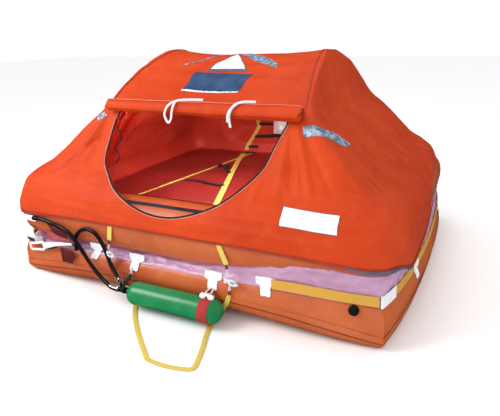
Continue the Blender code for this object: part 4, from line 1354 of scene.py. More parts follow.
# %% Turned pieces
def turned(name, profile, start, along, finish, stands_for=(), sides=24, sharp=35):
    """A profile of (distance, radius) turned about a line, with both ends closed."""
    along = unit(np.asarray(along, dtype=float))
    one = unit(np.cross(along, (0.31, 0.43, 0.85)))
    two = np.cross(along, one)
    angle = np.linspace(0, 2 * math.pi, sides, endpoint=False)
    round_way = np.cos(angle)[:, None] * one - np.sin(angle)[:, None] * two
    profile = np.asarray(profile, dtype=float)
    points = np.asarray(start) + profile[:, None, :1] * along + profile[:, None, 1:] * round_way
    faces, uv = capped_grid(points)
    return add_piece(name, points, faces, finish, stands_for, uv, sharp)


def tapered_strap(name, knots, widths, thick, up, finish, stands_for=()):
    """Flat webbing along knots, its width read off a width at each knot."""
    rough = smooth_route(np.concatenate([np.asarray(knots), np.asarray(widths)[:, None]], axis=1), 8)
    line, lengths = resample(rough[:, :3], 0.006), lengths_along(rough[:, :3])
    wide = np.interp(np.linspace(0, lengths[-1], len(line)), lengths, rough[:, 3])
    ahead = unit(np.gradient(line, axis=0))
    side = unit(np.cross(ahead, np.broadcast_to(np.asarray(up, dtype=float), line.shape)))
    up = np.cross(side, ahead)
    section = flat_section(1.0, 0.25)
    across = section[None, :, :1] * wide[:, None, None]
    points = line[:, None] + side[:, None] * across + up[:, None] * section[None, :, 1:] * (thick / 0.25)
    faces, uv = capped_grid(points)
    return add_piece(name, points, faces, finish, stands_for, uv)


SLEEVE = plain_coat("sleeve_brown", "red_webbing", rgb(0.23, 0.045, 0.025), rgb(0.12, 0.02, 0.014), 0.4)
SLEEVE_PROFILE = mm(((0, 5), (1.5, 7.2), (11, 6.6), (21, 7.2), (22.5, 5)))
KNOT = mm((
    (-20, 0, -4), (-6, -6, 6), (10, -5, 7), (19, 1, 1),
    (11, 6, -7), (-6, 5, -6), (-18, 1, 3), (-9, -7, 8),
    (6, -9, -4), (18, -4, -8), (30, -1, -4),
))
print("a sleeve is", SLEEVE_PROFILE[-1, 0], "m long")

# %% Both sides of the ladder
LADDER_Y = -0.9965
LADDER_SIDES = (
    # name, (x, z) down the top webbing, high sleeve, knot, low sleeve, low webbing
    ("left", ((-0.336, 0.409), (-0.341, 0.372), (-0.346, 0.338)), (-0.347, 0.33), (-0.36, 0.256), (-0.347, 0.203),
     ((-0.346, 0.186), (-0.344, 0.165), (-0.34, 0.146), (-0.335, 0.1288))),
    ("right", ((0.297, 0.411), (0.315, 0.372), (0.334, 0.325)), (0.337, 0.318), (0.354, 0.236), (0.35, 0.186),
     ((0.349, 0.17), (0.346, 0.156), (0.341, 0.143), (0.335, 0.1288))),
)
for name, top, high, middle, low, webbing_low in LADDER_SIDES:
    down = [(x, -0.9905 if z > 0.4 else LADDER_Y + 0.003, z) for x, z in top] + [(high[0], LADDER_Y, high[1] - 0.006)]
    tapered_strap("ladder_web_top_" + name, down, (0.028, 0.028, 0.027, 0.011), 0.0028, (0, -1, 0), YELLOW,
                  ["ladder_strap_" + name])
    high, middle, low = (np.array((x, LADDER_Y, z)) for x, z in (high, middle, low))
    to_knot, from_knot = unit(middle - high), unit(low - middle)
    turned("ladder_sleeve_high_" + name, SLEEVE_PROFILE, high, to_knot, SLEEVE, sides=20)
    for number, strand in ((1, -0.0032), (2, 0.0032)):
        rough = resample(np.array((high + 0.018 * to_knot, middle, low + 0.004 * from_knot)), 0.0029)
        phase = np.linspace(0, 7, len(rough))
        route = rough + np.stack([strand * np.cos(phase), strand * np.sin(phase), 0 * phase], axis=1)
        piece = sweep("ladder_cord_%s_%d" % (name, number), route, (0, -1, 0), round_section(0.0029, 10), PALE_WEB)
    knot = smooth_route(KNOT * (1.35, 1.0, 1.5) + middle + (0.004, -0.006, 0), 6)
    sweep("ladder_knot_" + name, knot, (0.3, -1, 0.2), round_section(0.0066, 12), PALE_WEB)
    turned("ladder_sleeve_low_" + name, SLEEVE_PROFILE, low, from_knot, SLEEVE, sides=20)
    down = [(x, LADDER_Y + 0.0045 * k / 3, z) for k, (x, z) in enumerate(webbing_low)]
    tapered_strap("ladder_web_low_" + name, down, (0.01, 0.018, 0.024, 0.024), 0.0032, (0, -1, 0), YELLOW)
print("ladder sides:", len(LADDER_SIDES))

# %% [markdown]
# ## The gas cylinder
# The cylinder that inflates the raft lies against the front, held by a red strap with a white
# buckle. Its valve takes both hoses, each through a steel ferrule. Everything round here is a
# turned profile, because two short lists of numbers give the whole silhouette, and the strap
# is a closed ring of the same flat section as the other webbing.

# %% Cylinder, valve, strap and buckle
CYLINDER = np.array([-0.215, -1.0427, 0.085])


def cylinder_profile():
    """Two domes of a quarter ellipse, with the body between them and a short neck."""
    turn = np.linspace(0, math.pi / 2, 16)
    left = np.stack([0.01 + 0.052 * (1 - np.cos(turn)), 0.018 + 0.0425 * np.sin(turn)], axis=1)
    right = np.stack([0.545 - 0.05 * (1 - np.cos(turn)), 0.0605 * np.sin(turn)], axis=1)[::-1]
    right[-1, 1] = 0.002
    return np.concatenate([[[0.0, 0.017]], left, right])


turned("cylinder_body", cylinder_profile(), CYLINDER, (1, 0, 0), GREEN, ["gas_cylinder"], 72, 60)
VALVE_PROFILE = mm((
    (0, 9), (3, 13.5), (16, 14.5), (17.5, 12), (22, 12), (23.5, 16.5),
    (45, 17.2), (47, 13.5), (57.5, 13.5),
))
turned("valve_body", VALVE_PROFILE, CYLINDER - (0.0583, 0, 0), (1, 0, 0), RUBBER, ["valve_head"], 32)
turn = np.linspace(0, 2 * math.pi, 96, endpoint=False)
out = np.stack([0 * turn, np.cos(turn), np.sin(turn)], axis=1)
sweep(
    "cylinder_red_strap", (0.2525, *CYLINDER[1:]) + 0.0628 * out, out, flat_section(0.055, 0.0028), RED_WEB,
    ["cylinder_strap"], ring=True,
)
LOBE = mm(((0, 3), (2, 8.5), (6, 12), (12, 13.5), (20, 13.5), (26, 12), (30, 8.5), (32, 3)))
for number, x in ((1, 0.2165), (2, 0.26)):
    turned("buckle_lobe_%d" % number, LOBE, (x, -1.046, 0.1605), (1, 0, -0.1), WHITE,
           ["strap_buckle"] if number == 1 else [])
bar = resample(np.array(((0.222, -1.04, 0.1665), (0.288, -1.04, 0.16))), 0.004)
sweep("buckle_bar", bar, (0, -0.3, 1), flat_section(0.017, 0.009), WHITE)
STOP = ((0, 0.004), (0.002, 0.009), (0.012, 0.009), (0.014, 0.004))
turned("buckle_stop", STOP, (0.279, -1.034, 0.15), (0, -1, 0.3), RUBBER, sides=20)
LOOP = mm((
    (246, -990, 176), (243, -1006, 174), (240, -1024, 172), (246, -1034, 169.5),
    (262, -1034, 168.5), (268, -1024, 171), (265, -1006, 173), (262, -990, 175),
))
sweep("buckle_loop", resample(smooth_route(LOOP, 6), 0.003), (0, 0.3, 1), flat_section(0.008, 0.003), PALE_WEB)
TAIL_KNOTS = mm(((252, -1042.7, 150.5), (252, -1030, 158), (251, -1012, 164), (250, -994, 171)))
tapered_strap("cylinder_strap_tail", TAIL_KNOTS, (0.045, 0.04, 0.034, 0.03), 0.0026, (0, 0.4, 1), RED_WEB)
print("cylinder:", cylinder_profile().max(axis=0) * (1, 2), "m long and across")


# %% Ferrules, inlets and the valve's strap
def ferrule(name, line, back, length):
    """A crimped steel sleeve on the last stretch of a hose."""
    lengths = lengths_along(line)
    route = read_off(np.linspace(lengths[-1] - back - length, lengths[-1] - back, 16), lengths, line)
    scale = 1 + 0.05 * np.cos(np.linspace(0, 6 * math.pi, 16))
    return sweep(name, route, (0.05, -1, 0.3), round_section(0.0124, 20), STEEL, scale=scale)


ferrule("ferrule_upper", upper_hose_line, 0.014, 0.052)
ferrule("ferrule_lower", lower_hose_line, 0.012, 0.05)
NUT = ((0, 0.011), (0.002, 0.015), (0.011, 0.015), (0.013, 0.011))
turned("hose_nut_upper", NUT, (-0.288, -1.0475, 0.085), (1, 0, 0), STEEL, sides=6, sharp=20)
turned("hose_nut_lower", NUT, (-0.25, -1.0475, 0.118), (0, 0, -1), STEEL, sides=6, sharp=20)
INLET = mm(((0, 9), (2, 12.2), (12, 12.8), (13.5, 10.8), (20, 10.8), (21.5, 12.5), (32, 12.2), (34, 9)))
turned("inlet_upper", INLET, np.array(UPPER_INLET) - (0.034, 0, 0), (1, 0, 0), RUBBER, ["hose_inlet_upper"])
turned("inlet_lower", INLET, LOWER_INLET, (0, 0, 1), RUBBER, ["hose_inlet_lower"])
LEVER_KNOTS = mm(((-246, -1058, 80), (-243, -1060, 100), (-235, -1045, 124), (-226, -1015, 148), (-222, -995, 163)))
tapered_strap("valve_cover_strap", LEVER_KNOTS, (0.02, 0.024, 0.024, 0.02, 0.016), 0.006, (0, -1, 0.5), BLACK_WEB)
for number, offset in ((1, -0.005), (2, 0.006)):
    knots = ((-0.222 + offset, -1.0, 0.158), (-0.224 + offset, -0.999, 0.168), (-0.223 + offset / 2, -0.994, 0.18),
             (-0.222, -0.988, 0.194))
    route = resample(smooth_route(knots, 6), 0.003)
    tie = sweep("valve_tie_%d" % number, route, (0, -1, 0.3), round_section(0.0022, 10), PALE_WEB)
print("fittings on the cylinder are on")

# %% [markdown]
# ## Fittings at the left end
# Hard against the left corner hang the towing strap with its ring, a white patch with a navy
# tab, strips of film under the hem, thin white lashings, a dark bag behind the upper hose, and
# a small pleated pocket. The photo shows hardly more than their outlines, so each loose sheet
# is four corners, bent out by a dome and creased by noise and pleats.

# %% Towing ring and strap
MAROON = coated_cloth(
    "maroon_cloth", "floor_cloth", rgb(0.15, 0.012, 0.008), rgb(0.085, 0.006, 0.005), rgb(0.3, 0.04, 0.03), 0.4,
    wrinkle=0.7,
)
PINK = coated_cloth(
    "pink_film", "clear_film", rgb(0.42, 0.085, 0.1), rgb(0.3, 0.05, 0.06), rgb(0.56, 0.22, 0.25), 0.35, wrinkle=0.9
)
RING_KNOTS = mm((
    (-972, -962, 197.5), (-935, -966, 206.5), (-895, -971, 216.5), (-858, -975, 225.5),
    (-848, -976, 220), (-852, -976, 202), (-857, -975, 185), (-868, -974, 179),
    (-900, -970, 172.5), (-935, -966, 166.5), (-968, -962, 160.5), (-977, -961, 165),
    (-979, -961, 179), (-980, -961, 192), (-972, -962, 197.5),
))
ring_line = resample(smooth_route(RING_KNOTS, 6), 0.004)[:-1]
sweep("towing_ring_webbing", ring_line, (0, -1, 0), flat_section(0.015, 0.004), PALE_WEB, ["towing_ring"], ring=True)
TOWING_KNOTS = mm(((-858, -977.5, 204), (-810, -981, 220), (-740, -987, 239), (-680, -991, 251), (-618, -993, 260)))
tapered_strap("towing_strap_webbing", TOWING_KNOTS, (0.04, 0.034, 0.024, 0.018, 0.014), 0.003, (0, -1, 0), PALE_WEB,
              ["towing_strap"])
BACK_KNOTS = mm(((-862, -974.5, 187), (-800, -978, 203), (-740, -983, 221)))
tapered_strap("towing_strap_back", BACK_KNOTS, (0.016, 0.018, 0.01), 0.002, (0, -1, 0), NAVY)
print("towing ring:", round(line_length(ring_line), 2), "m of webbing")


# %% Patch, tab, film and bag
def quad(corners, rows, columns):
    """A grid between four corners given as top left, top right, bottom right, bottom left."""
    a, b, c, d = np.asarray(corners, dtype=float)[:, None, None]
    down, over = np.linspace(0, 1, rows)[:, None, None], np.linspace(0, 1, columns)[None, :, None]
    return (1 - down) * ((1 - over) * a + over * b) + down * ((1 - over) * d + over * c)


def free_sheet(name, corners, size, depth, thick, finish, seed, pleats, stands_for):
    """A loose sheet between four corners, bent out by a dome, random creases and pleats."""
    corners = np.asarray(corners, dtype=float)
    columns = max(6, int(np.linalg.norm(corners[1] - corners[0]) / size) + 1)
    rows = max(6, int(np.linalg.norm(corners[3] - corners[0]) / size) + 1)
    flat = quad(corners, rows, columns)
    down, over = np.linspace(-1, 1, rows)[:, None], np.linspace(-1, 1, columns)[None, :]
    facing = unit(np.cross(corners[3] - corners[0], corners[1] - corners[0]))
    bend = depth * (1 - down**2) * (1 - over**2) + 0.4 * depth * noise(flat, 0.035, seed)
    bend = bend + pleats * np.abs(np.sin(2.5 * math.pi * over + 0.7)) * (0.7 + 0.3 * down)
    facing = np.broadcast_to(facing, flat.shape)
    piece = slab_grid(name, flat + facing * bend[..., None], facing, thick, finish, list(stands_for))
    return piece


LOOSE_SHEETS = (
    # name, corners, cell, dome, thickness, finish, seed, pleats, solid that it stands for
    ("left_patch",
     ((-0.984, -0.957, 0.303), (-0.925, -0.968, 0.312), (-0.918, -0.972, 0.246), (-0.974, -0.96, 0.238)),
     0.006, 0.006, 0.0015, WHITE, 21, 0.0, ()),
    ("left_patch_tab",
     ((-1.006, -0.953, 0.234), (-0.93, -0.966, 0.232), (-0.934, -0.967, 0.213), (-0.996, -0.955, 0.215)),
     0.006, 0.003, 0.0015, NAVY, 22, 0.0, ()),
    ("left_film_strip",
     ((-0.998, -0.948, 0.372), (-0.872, -0.983, 0.386), (-0.878, -0.983, 0.352), (-0.99, -0.952, 0.34)),
     0.008, 0.005, 0.0012, (WHITE[0], "clear_film"), 23, 0.0, ()),
    ("dark_bag", ((-0.785, -0.988, 0.36), (-0.668, -0.992, 0.344), (-0.642, -0.986, 0.288), (-0.742, -0.975, 0.288)),
     0.006, 0.01, 0.002, MAROON, 24, 0.003, ()),
    ("left_pink_film",
     ((-0.82, -0.97, 0.302), (-0.64, -0.981, 0.291), (-0.64, -0.984, 0.262), (-0.812, -0.976, 0.252)),
     0.006, 0.005, 0.0012, PINK, 25, 0.0, ()),
    ("drop_pocket_cloth",
     ((-0.712, -0.984, 0.224), (-0.612, -0.988, 0.214), (-0.622, -0.992, 0.146), (-0.702, -0.99, 0.144)),
     0.004, 0.006, 0.002, MAROON, 26, 0.007, ("drop_pocket",)),
)
for sheet in LOOSE_SHEETS:
    free_sheet(*sheet)
LASHINGS = (
    ((-975, -957, 338), (-1000, -957, 330), (-1020, -956, 305), (-1016, -955, 275),
     (-990, -957, 252)),
    ((-985, -952, 322), (-1020, -952, 322), (-1038, -952, 292), (-1024, -952, 262),
     (-1004, -952, 246)),
)
for number, knots in enumerate(LASHINGS, 1):
    route = resample(smooth_route(mm(knots), 8), 0.004)
    piece = sweep("left_lashing_%d" % number, route, (0, -1, 0), round_section(0.002, 10), PALE_WEB)
print("left end fittings are on")

# %% [markdown]
# ## Plates and tapes on the canopy
# A blank name plate, a plain dark blue panel with a frayed white edge, a plain white triangle,
# and silver reflective tapes are stuck to the cloth and follow its folds. Painting them into
# the canopy's material would be less work, but their edges and thickness catch the light.


# %% Ribbons on the canopy
def silver_tape(name, slot, main, dark):
    """Reflective tape: a fine square grid of darker lines over glass beads."""
    made, tree, shader = start_finish(name, 0.3, Metallic=0.35)
    uv = coordinates(tree, "UV")
    here = coordinates(tree, "Object")
    net = arithmetic(tree, "MAXIMUM", *(thread_node(tree, uv, way, TAPE_THREAD) for way in ("X", "Y")))
    patch = noise_node(tree, here, 35.0, 3.0)
    colour = blend_colours(tree, remap(tree, net, 0.8, 0.95, 0.0, 0.6), main, dark)
    colour = blend_colours(tree, remap(tree, patch, 0.45, 0.62, 0.0, 1.0), colour, rgb(0.62, 0.7, 0.8))
    tree.links.new(colour, shader.inputs["Base Color"])
    bump_node(tree, shader, [(patch, 0.003, 0.3), (net, 0.0004, 0.3)])
    return made, slot


SILVER = silver_tape("reflective_tape", "white_fabric", rgb(0.2, 0.3, 0.46), rgb(0.1, 0.16, 0.3))
BLUE = plain_coat("panel_blue", "white_fabric", rgb(0.03, 0.085, 0.2), rgb(0.014, 0.045, 0.12), 0.5)
BORDER = plain_coat("plate_border", "white_fabric", rgb(0.11, 0.13, 0.17), rgb(0.07, 0.085, 0.12), 0.5)
SEAM = plain_coat("canopy_seam", "canopy_cloth", rgb(0.36, 0.03, 0.006), rgb(0.27, 0.02, 0.005), 0.6)
TUBE_SEAM = plain_coat("tube_seam", "tube_rubber", rgb(0.3, 0.055, 0.012), rgb(0.24, 0.04, 0.01), 0.5)


def ribbon(top, bottom, size=0.008):
    """A grid between a top line and a bottom line, each through its own knots."""
    top, bottom = (np.asarray(line, dtype=float) for line in (top, bottom))
    columns = max(3, int(line_length(top) / size) + 1)
    rows = max(3, int(np.linalg.norm(top[0] - bottom[0]) / size) + 1)
    ends = []
    for line in (top, bottom):
        lengths = lengths_along(line)
        ends.append(read_off(np.linspace(0, lengths[-1], columns), lengths, line))
    share = np.linspace(0, 1, rows)[:, None, None]
    return (1 - share) * ends[0] + share * ends[1]


def grown(corners, by):
    """Four corners moved out from their middle by a share."""
    corners = np.asarray(corners, dtype=float)
    middle = corners.mean(axis=0)
    return middle + (corners - middle) * by


PLATE = mm(((587, -2000, 604), (840, -2000, 598), (845, -2000, 531), (592, -2000, 539)))
edge = grown(PLATE, (1.022, 1, 1.07))
laid_sheet("name_plate_border", ribbon(edge[:2], edge[[3, 2]]), FRONT, 0.001, BORDER)
laid_sheet("name_plate", ribbon(PLATE[:2], PLATE[[3, 2]]), FRONT, 0.0012, WHITE, lift=0.0012)
PANEL = mm(((-172, -315, 2000), (181, -322, 2000), (170, -482, 2000), (-162, -494, 2000)))
laid_sheet("roof_panel", ribbon(PANEL[:2], PANEL[[3, 2]]), DOWN, 0.0012, BLUE)
fray = ribbon(PANEL[[3, 2]], PANEL[[3, 2]] + (0, -0.012, 0), 0.0045)
fray[..., 1] += 0.006 * noise(fray * (8, 1, 1), 0.05, 31) - 0.002
laid_sheet("roof_panel_fray", fray, DOWN, 0.001, WHITE, lift=0.0014)
TRIANGLE = mm(((-102, -276, 2000), (-43, -51, 2000), (-39, -51, 2000), (114, -280, 2000)))
edge = grown(TRIANGLE, 1.14)
laid_sheet("roof_triangle_border", ribbon(edge[1:3], edge[[0, 3]], 0.006), DOWN, 0.001, BORDER)
places = ribbon(TRIANGLE[1:3], TRIANGLE[[0, 3]], 0.006)
laid_sheet("roof_triangle", places, DOWN, 0.0012, WHITE, lift=0.0012)
TAPES = (
    # name, way, top line, bottom line
    ("roof", DOWN, ((-0.02, 0.03, 2), (0.14, -0.095, 2), (0.272, -0.2, 2)),
     ((-0.075, 0.01, 2), (0.11, -0.16, 2), (0.305, -0.285, 2))),
    ("left_roof", DOWN, ((-0.3, -0.243, 2), (-0.128, -0.02, 2)), ((-0.288, -0.252, 2), (-0.116, -0.03, 2))),
    ("left", FRONT, ((-0.628, -2, 0.908), (-0.586, -2, 0.93)), ((-0.613, -2, 0.88), (-0.56, -2, 0.912))),
)
for name, way, top, bottom in TAPES:
    laid_sheet("tape_" + name, ribbon(top, bottom), way, 0.0008, SILVER)
TAPE_TOP = mm(((586, -660, 915), (640, -600, 900), (684, -530, 876), (706, -500, 856), (758, -455, 806)))
TAPE_LOW = mm(((598, -692, 875), (660, -665, 868), (702, -620, 852), (716, -575, 838), (758, -531, 800)))
corner_way = np.array((-0.55, 0.6, -0.58))
places = ribbon(TAPE_TOP, TAPE_LOW, 0.007) - 0.6 * corner_way
laid_sheet("tape_right", places, corner_way, 0.0008, SILVER)
print("plates and tapes are on")


# %% Seams and hem
def roof_seam(name, side):
    """A strip from the roll over the ridge to the back, bowed outwards by a power of y."""
    y = np.linspace(-0.585, 0.585, 130)
    x = side * (0.478 + 0.088 * np.abs(y / 0.56) ** 1.2)
    line = np.stack([x, y, np.full(130, 2.0)], axis=1)
    places = ribbon(line + (0.0035, 0, 0), line - (0.0035, 0, 0), 0.01)
    return laid_sheet(name, places, DOWN, 0.0022, SEAM)


roof_seam("roof_seam_left", -1)
roof_seam("roof_seam_right", 1)
hem_facing = -normals_of(canopy_points, around=True)


def hem_tape(name, height, columns, lift, thick, finish, around=False):
    """A tape over some columns of the canopy's own first rows, up to a share of one row."""
    hem = canopy_points[0, columns]
    rows = np.stack([hem + height * (canopy_points[1, columns] - hem), hem])
    facing = hem_facing[[1, 0]][:, columns]
    return slab_grid(name, rows + facing * lift, facing, thick, finish, (), around)


count = 4 * CANOPY_SIDE
hem_tape("hem_tape", 1.0, np.arange(count), 0.0006, 0.0016, SEAM, around=True)
side, t = side_places(CANOPY_SIDE)
corner = np.flatnonzero(((side == 0) & (t > 0.82)) | ((side == 1) & (t < -0.7)))
hem_tape("hem_grey_tape", 0.55, corner, 0.0024, 0.0024, (BORDER[0], "canopy_cloth"))
print("seams and hem are on")

# %% [markdown]
# ## Ties, piping and the zip's cord
# White ties hang over the rolled door, a pale piping runs along it, and the zip's black cord
# hangs in waves inside the entrance's left edge. Each is a section swept along a smooth route;
# for the piping a little noise is added to it, since a dead straight one looks like wire.

# %% Ties and cords at the entrance
TIES = (
    # name, far end, knots from behind the roll over its front
    ("left", "object",
     ((0.05, -0.64, 1.016), (-0.02, -0.65, 1.016), (-0.078, -0.672, 1.013), (-0.118, -0.698, 0.994),
      (-0.14, -0.708, 0.955), (-0.136, -0.709, 0.925), (-0.12, -0.709, 0.905), (-0.104, -0.709, 0.925),
      (-0.097, -0.708, 0.96), (-0.091, -0.704, 0.985), (-0.086, -0.688, 1.008))),
    ("right", "bare",
     ((0.345, -0.65, 1.018), (0.285, -0.668, 1.018), (0.252, -0.694, 1.005), (0.236, -0.709, 0.975),
      (0.23, -0.711, 0.945), (0.236, -0.711, 0.9))),
    ("right_short", "bare",
     ((0.262, -0.69, 1.01), (0.24, -0.706, 0.99), (0.224, -0.712, 0.96), (0.222, -0.712, 0.925))),
)
for name, far_end, knots in TIES:
    route = resample(smooth_route(knots, 8), 0.004)
    piece = sweep("tie_" + name, route, (0, -1, 0.6), flat_section(0.013, 0.0018), PALE_WEB)
x = np.linspace(-0.53, 0.575, 220)
spot = np.stack([x, 0 * x, 0 * x], axis=1)
along = (-0.672 + 0.004 * noise(spot, 0.09, 41), 1.0095 + 0.0055 * x + 0.002 * noise(spot, 0.06, 42))
piping = np.stack([x, *along], axis=1)
curl = np.linspace(0, 1.5 * math.pi, 24)[1:]
drop = 1 - np.cos(curl)
end = (0.575 + 0.012 * np.sin(curl) * (1 - curl / 9), -0.674 - 0.01 * drop, piping[-1, 2] - 0.016 * drop)
piping = np.concatenate([piping, np.stack(end, axis=1)])
sweep("roll_piping", resample(piping, 0.006), (0, -1, 0.3), round_section(0.0018, 8), PIPING)
CORD_KNOTS = mm((
    (-463, -600, 945), (-480, -632, 905), (-492, -660, 862), (-462, -680, 828),
    (-447, -692, 800), (-462, -710, 772), (-470, -728, 748), (-440, -742, 728),
    (-426, -752, 706), (-436, -778, 676),
))
route = resample(smooth_route(CORD_KNOTS, 8), 0.005)
piece = sweep("zip_cord", route, (1, -0.5, 0), round_section(0.003, 10), ZIP)
print("ties and cords:", len(TIES) + 1)

# %% [markdown]
# ## Inside the cabin
# Yellow straps run over the floor from the front to the back wall, with black rungs between
# them, and a cloudy bag hangs in the back corner. The floor is flat, so a swept section is
# enough there; the pieces on the slack wall are laid on its triangles. A jamb closes the
# doorway's left side, and two thin lines run over the front tube: a navy stripe, and a black
# line of painted shade along the tube's inner edge, where its top turns down out of the light.


# %% Straps and rungs
def floor_strap(name, line, width, finish, stands_for, z, bend):
    """Webbing on the floor between three or more (x, y) knots, humped by a half sine."""
    route = resample(smooth_route([(x, y, z) for x, y in line], 8), 0.01)
    route[:, 2] += bend * np.sin(np.linspace(0, math.pi, len(route))) + 0.001
    return sweep(name, route, (0, 0, 1), flat_section(width, 0.0024), finish, [stands_for])


FLOOR_STRAPS = (
    # name, (x, y) knots, width, finish, solid that it stands for, height, hump
    ("strap_left", ((-0.487, -0.645), (-0.41, -0.15), (-0.34, 0.3), (-0.285, 0.655)), 0.02, YELLOW,
     "inner_strap_left", 0.4312, 0.0),
    ("strap_right", ((0.082, -0.645), (-0.03, -0.33), (-0.24, 0.27), (-0.362, 0.655)), 0.036, YELLOW,
     "inner_strap_right", 0.4342, 0.0),
    ("rung_1", ((-0.378, -0.2), (-0.28, -0.19), (-0.17, -0.215), (-0.075, -0.225)), 0.026, BLACK_WEB,
     "inner_rung_1", 0.4368, 0.0),
    ("rung_2", ((-0.352, 0.24), (-0.33, 0.18), (-0.262, 0.19), (-0.245, 0.11), (-0.175, 0.045)), 0.026,
     BLACK_WEB, "inner_rung_2", 0.4368, 0.012),
    ("rung_3", ((-0.372, 0.61), (-0.32, 0.64), (-0.25, 0.63)), 0.022, BLACK_WEB,
     "inner_rung_3", 0.4368, 0.0),
)
for name, *strap in FLOOR_STRAPS:
    floor_strap("floor_" + name, *strap)
inner_points = np.array([vertex.co[:] for vertex in inner_tent.data.vertices]) - shift
INNER = triangles(inner_points, [list(face.vertices) for face in inner_tent.data.polygons])
print("straps on the floor:", len(FLOOR_STRAPS))


# %% Riser and rungs on the back wall
def wall_piece(name, top, bottom, finish, stands_for, lift):
    """A ribbon laid on the inner tent's back wall from in front, by (x, z) lines."""
    lines = [[(x, -0.2, z) for x, z in line] for line in (top, bottom)]
    return laid_sheet(name, ribbon(*lines), FRONT, 0.0024, finish, lift, stands_for, INNER)


RISER = mm(((-380, 437.5), (-338, 560), (-318, 640), (-296, 750)))
RISER_RIGHT = mm(((-346, 437.5), (-306, 560), (-286, 640), (-264, 750)))
wall_piece("wall_riser", RISER, RISER_RIGHT, YELLOW, ["inner_riser"], 0.0012)
RUNGS = ((-0.3, -0.15, 0.634, 0.64), (-0.315, -0.105, 0.536, 0.552), (-0.345, -0.262, 0.466, 0.47))
for number, (x0, x1, z0, z1) in enumerate(RUNGS, 1):
    wall_piece("wall_rung_%d" % number, ((x0, z0 + 0.01), (x1, z1 + 0.01)), ((x0, z0 - 0.011), (x1, z1 - 0.01)),
               BLACK_WEB, (), 0.004)
print("risers: 1, rungs on the wall:", len(RUNGS))

# %% The doorway's left jamb, and the bag
JAMB_FRONT = mm(((-470, -880, 620), (-500, -775, 705), (-512, -705, 800), (-510, -648, 880), (-495, -595, 965)))
JAMB_BACK = mm(((-760, -300, 620), (-735, -300, 705), (-628, -300, 800), (-552, -300, 880), (-528, -300, 965)))
jamb = ribbon(smooth_route(JAMB_FRONT, 8), smooth_route(JAMB_BACK, 8), 0.012)
jamb_facing = np.broadcast_to(unit(np.array((0.95, 0.3, 0.0))), jamb.shape)
jamb = jamb + jamb_facing * (0.006 * noise(jamb, 0.08, 52))[..., None]
piece = slab_grid("doorway_left_jamb", jamb, jamb_facing, 0.0016, INSIDE)
BAG = mm(((-160, 778, 690), (-48, 776, 694), (-47, 774, 574), (-157, 776, 570)))
free_sheet("stowage_bag_front", BAG, 0.006, 0.02, 0.0016, CLEAR, 51, 0.003, ["stowage_bag"])
print("jamb and bag are hung")

# %% The front tube's lines
# the first line is painted shade: a black strip that stands for the dark edge where the tube's top turns away towards
# the floor
for name, inset, width, finish in (
    ("black_line", 0.158, 0.007, ZIP), ("navy_stripe", 0.072, 0.016, (NAVY[0], "black_webbing")),
):
    side, t = (row[:, None] for row in side_run(0, -0.4, 0.34, 90))
    across = inset + np.linspace(0.5, -0.5, 4)[None, :] * width
    across, side, t = np.broadcast_arrays(across, side, t)
    crown = 3 * TUBE + np.sqrt(TUBE**2 - (across - TUBE) ** 2)
    low, high = (ring_place(side, t, across, crown + up) for up in (0.0012, 0.003))
    slab_grid("front_tube_" + name, low, unit(high - low), 0.0016, finish)
print("lines on the front tube: 2")

# %% [markdown]
# ## Arches, ballast pockets and the relief valve's cap
# Two inflated arches hold the canopy up. Under the floor hang four water pockets of dark cloth,
# sewn at their rims. The lower ring has a black ribbed cap at the right and a seam all round.
# The photo hides most of these, so they are kept simple: a swept circle, a rounded rectangle
# that narrows downwards, three turned profiles, and strips that follow the ring's formula.

# %% Arches
ARCH_HALF = mm((
    (620, 795, 534), (617, 785, 620), (598, 705, 720), (555, 560, 885),
    (515, 370, 1030), (475, 180, 1130), (460, 0, 1173.8),
))
for name, sign in (("left", -1), ("right", 1)):
    knots = [(sign * x, -y, z) for x, y, z in ARCH_HALF] + [(sign * x, y, z) for x, y, z in ARCH_HALF[-2::-1]]
    route = resample(smooth_route(knots, 10), 0.014)
    scale = 0.985 + 0.012 * noise(route, 0.12, 61)
    sweep("arch_tube_" + name, route, (1, 0, 0), round_section(0.0448, 40), TUBES, ["arch_" + name], scale)
print("each arch:", round(line_length(route), 2), "m along its middle")

# %% Ballast pockets
POCKET_CLOTH = coated_cloth(
    "pocket_cloth", "black_webbing", rgb(0.02, 0.02, 0.026), rgb(0.01, 0.01, 0.014), rgb(0.06, 0.06, 0.07), 0.6,
    wrinkle=0.6,
)


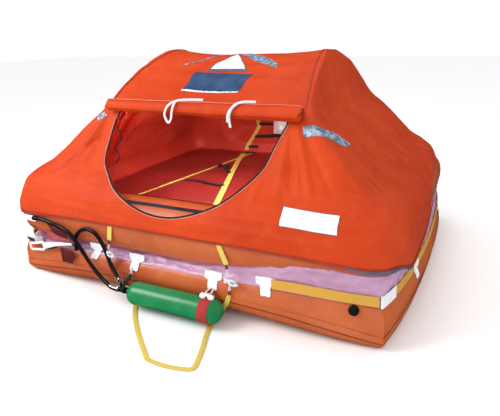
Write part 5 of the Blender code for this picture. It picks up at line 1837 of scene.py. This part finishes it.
def ballast_pocket(name, middle_x, middle_y):
    """A sewn pouch: a superellipse of power 5 that narrows downwards, its walls full and
    creased, closed by flat rings above and below."""
    turn = np.linspace(0, 2 * math.pi, 160, endpoint=False)[None, :]
    share = np.linspace(0, 1, 40)[:, None]
    half_x = 0.188 - 0.058 * share**1.3
    half_y = 0.128 - 0.038 * share**1.3
    square = (np.abs(np.cos(turn)) ** 5 + np.abs(np.sin(turn)) ** 5) ** (-1 / 5)
    belly = 1 - 0.05 * (1 - np.sin(math.pi * share)) + 0.012 * np.sin(9 * turn) * share
    centre = np.array([middle_x, middle_y, 0])
    flat = np.stack([half_x * square * np.cos(turn), half_y * square * np.sin(turn)], axis=-1) * belly[..., None]
    side = centre + np.concatenate([flat, (0.334 - 0.232 * share + 0 * turn)[..., None]], axis=-1)
    side += normals_of(side, around=True) * (-0.004 * noise(side, 0.06, 62))[..., None]

    def drawn_in(ring, share):
        """A ring of points drawn in towards the pouch's middle, at the same height."""
        return ring * (share, share, 1) + centre * (1 - share)

    rim = [drawn_in(side[:1], share) for share in (0.05, 0.5, 0.93)]
    base = [drawn_in(side[-1:], share) - (0, 0, 0.004) for share in (0.93, 0.6, 0.3, 0.05)]
    points = np.concatenate([*rim, side, *base])
    faces, uv = capped_grid(points, flip=True)
    return add_piece("pocket_" + name, points, faces, POCKET_CLOTH, ["ballast_" + name], uv)


for name, x, y in (("front_left", -1, -1), ("front_right", 1, -1), ("back_right", 1, 1), ("back_left", -1, 1)):
    ballast_pocket(name, 0.44 * x, 0.36 * y)
print("ballast pockets: 4")

# %% The relief valve's cap
cap_place = outer_place(0, np.array([0.9367]), np.array([0.1864]))[0]
cap_way = unit(np.array((0.02, -0.9, 0.43)))
BASE = ((0, 0.017), (0.001, 0.0235), (0.0055, 0.024), (0.007, 0.02))
KNOB = ((0, 0.0165), (0.002, 0.0185), (0.011, 0.0185), (0.0135, 0.0165), (0.014, 0.012), (0.012, 0.0105),
        (0.012, 0.003))
BUTTON = ((0, 0.007), (0.0035, 0.0065), (0.0042, 0.004))
for name, profile, out, node, sides, sharp in (
    ("base", BASE, -0.003, ["valve_cap"], 40, 35), ("knob", KNOB, 0.003, (), 12, 25),
    ("button", BUTTON, 0.0145, (), 24, 35),
):
    start = cap_place + out * cap_way
    turned("valve_cap_" + name, profile, start, cap_way, RUBBER, node, sides, sharp)
print("valve cap: 3 pieces")


# %% Seams on the rings
def ring_seam(name, low, high, finish, thick):
    """A thin strip all round the lower ring's outer face between two nominal heights."""
    side, t = (row[:, None] for row in side_places(60))
    height = np.linspace(low, high, 3)[None, :]
    side, t, height = np.broadcast_arrays(side, t, height)
    angle = np.arcsin((height - TUBE) / TUBE)
    power = 2 / (2 + CORNER_PINCH * t**4)
    across = np.cos(angle) ** power
    up = np.sign(np.sin(angle)) * np.abs(np.sin(angle)) ** power
    inner, outer = (
        np.swapaxes(ring_place(side, t, TUBE - (TUBE + gap) * across, TUBE + (TUBE + gap) * up), 0, 1)
        for gap in (thick, 2 * thick)
    )
    return slab_grid(name, inner, unit(outer - inner), thick, finish, (), around=True)


ring_seam("lower_ring_seam", 0.094, 0.1, TUBE_SEAM, 0.0008)
ring_seam("lower_ring_tape", 0.102, 0.124, TUBES, 0.0006)
print("seams on the lower ring: 2")
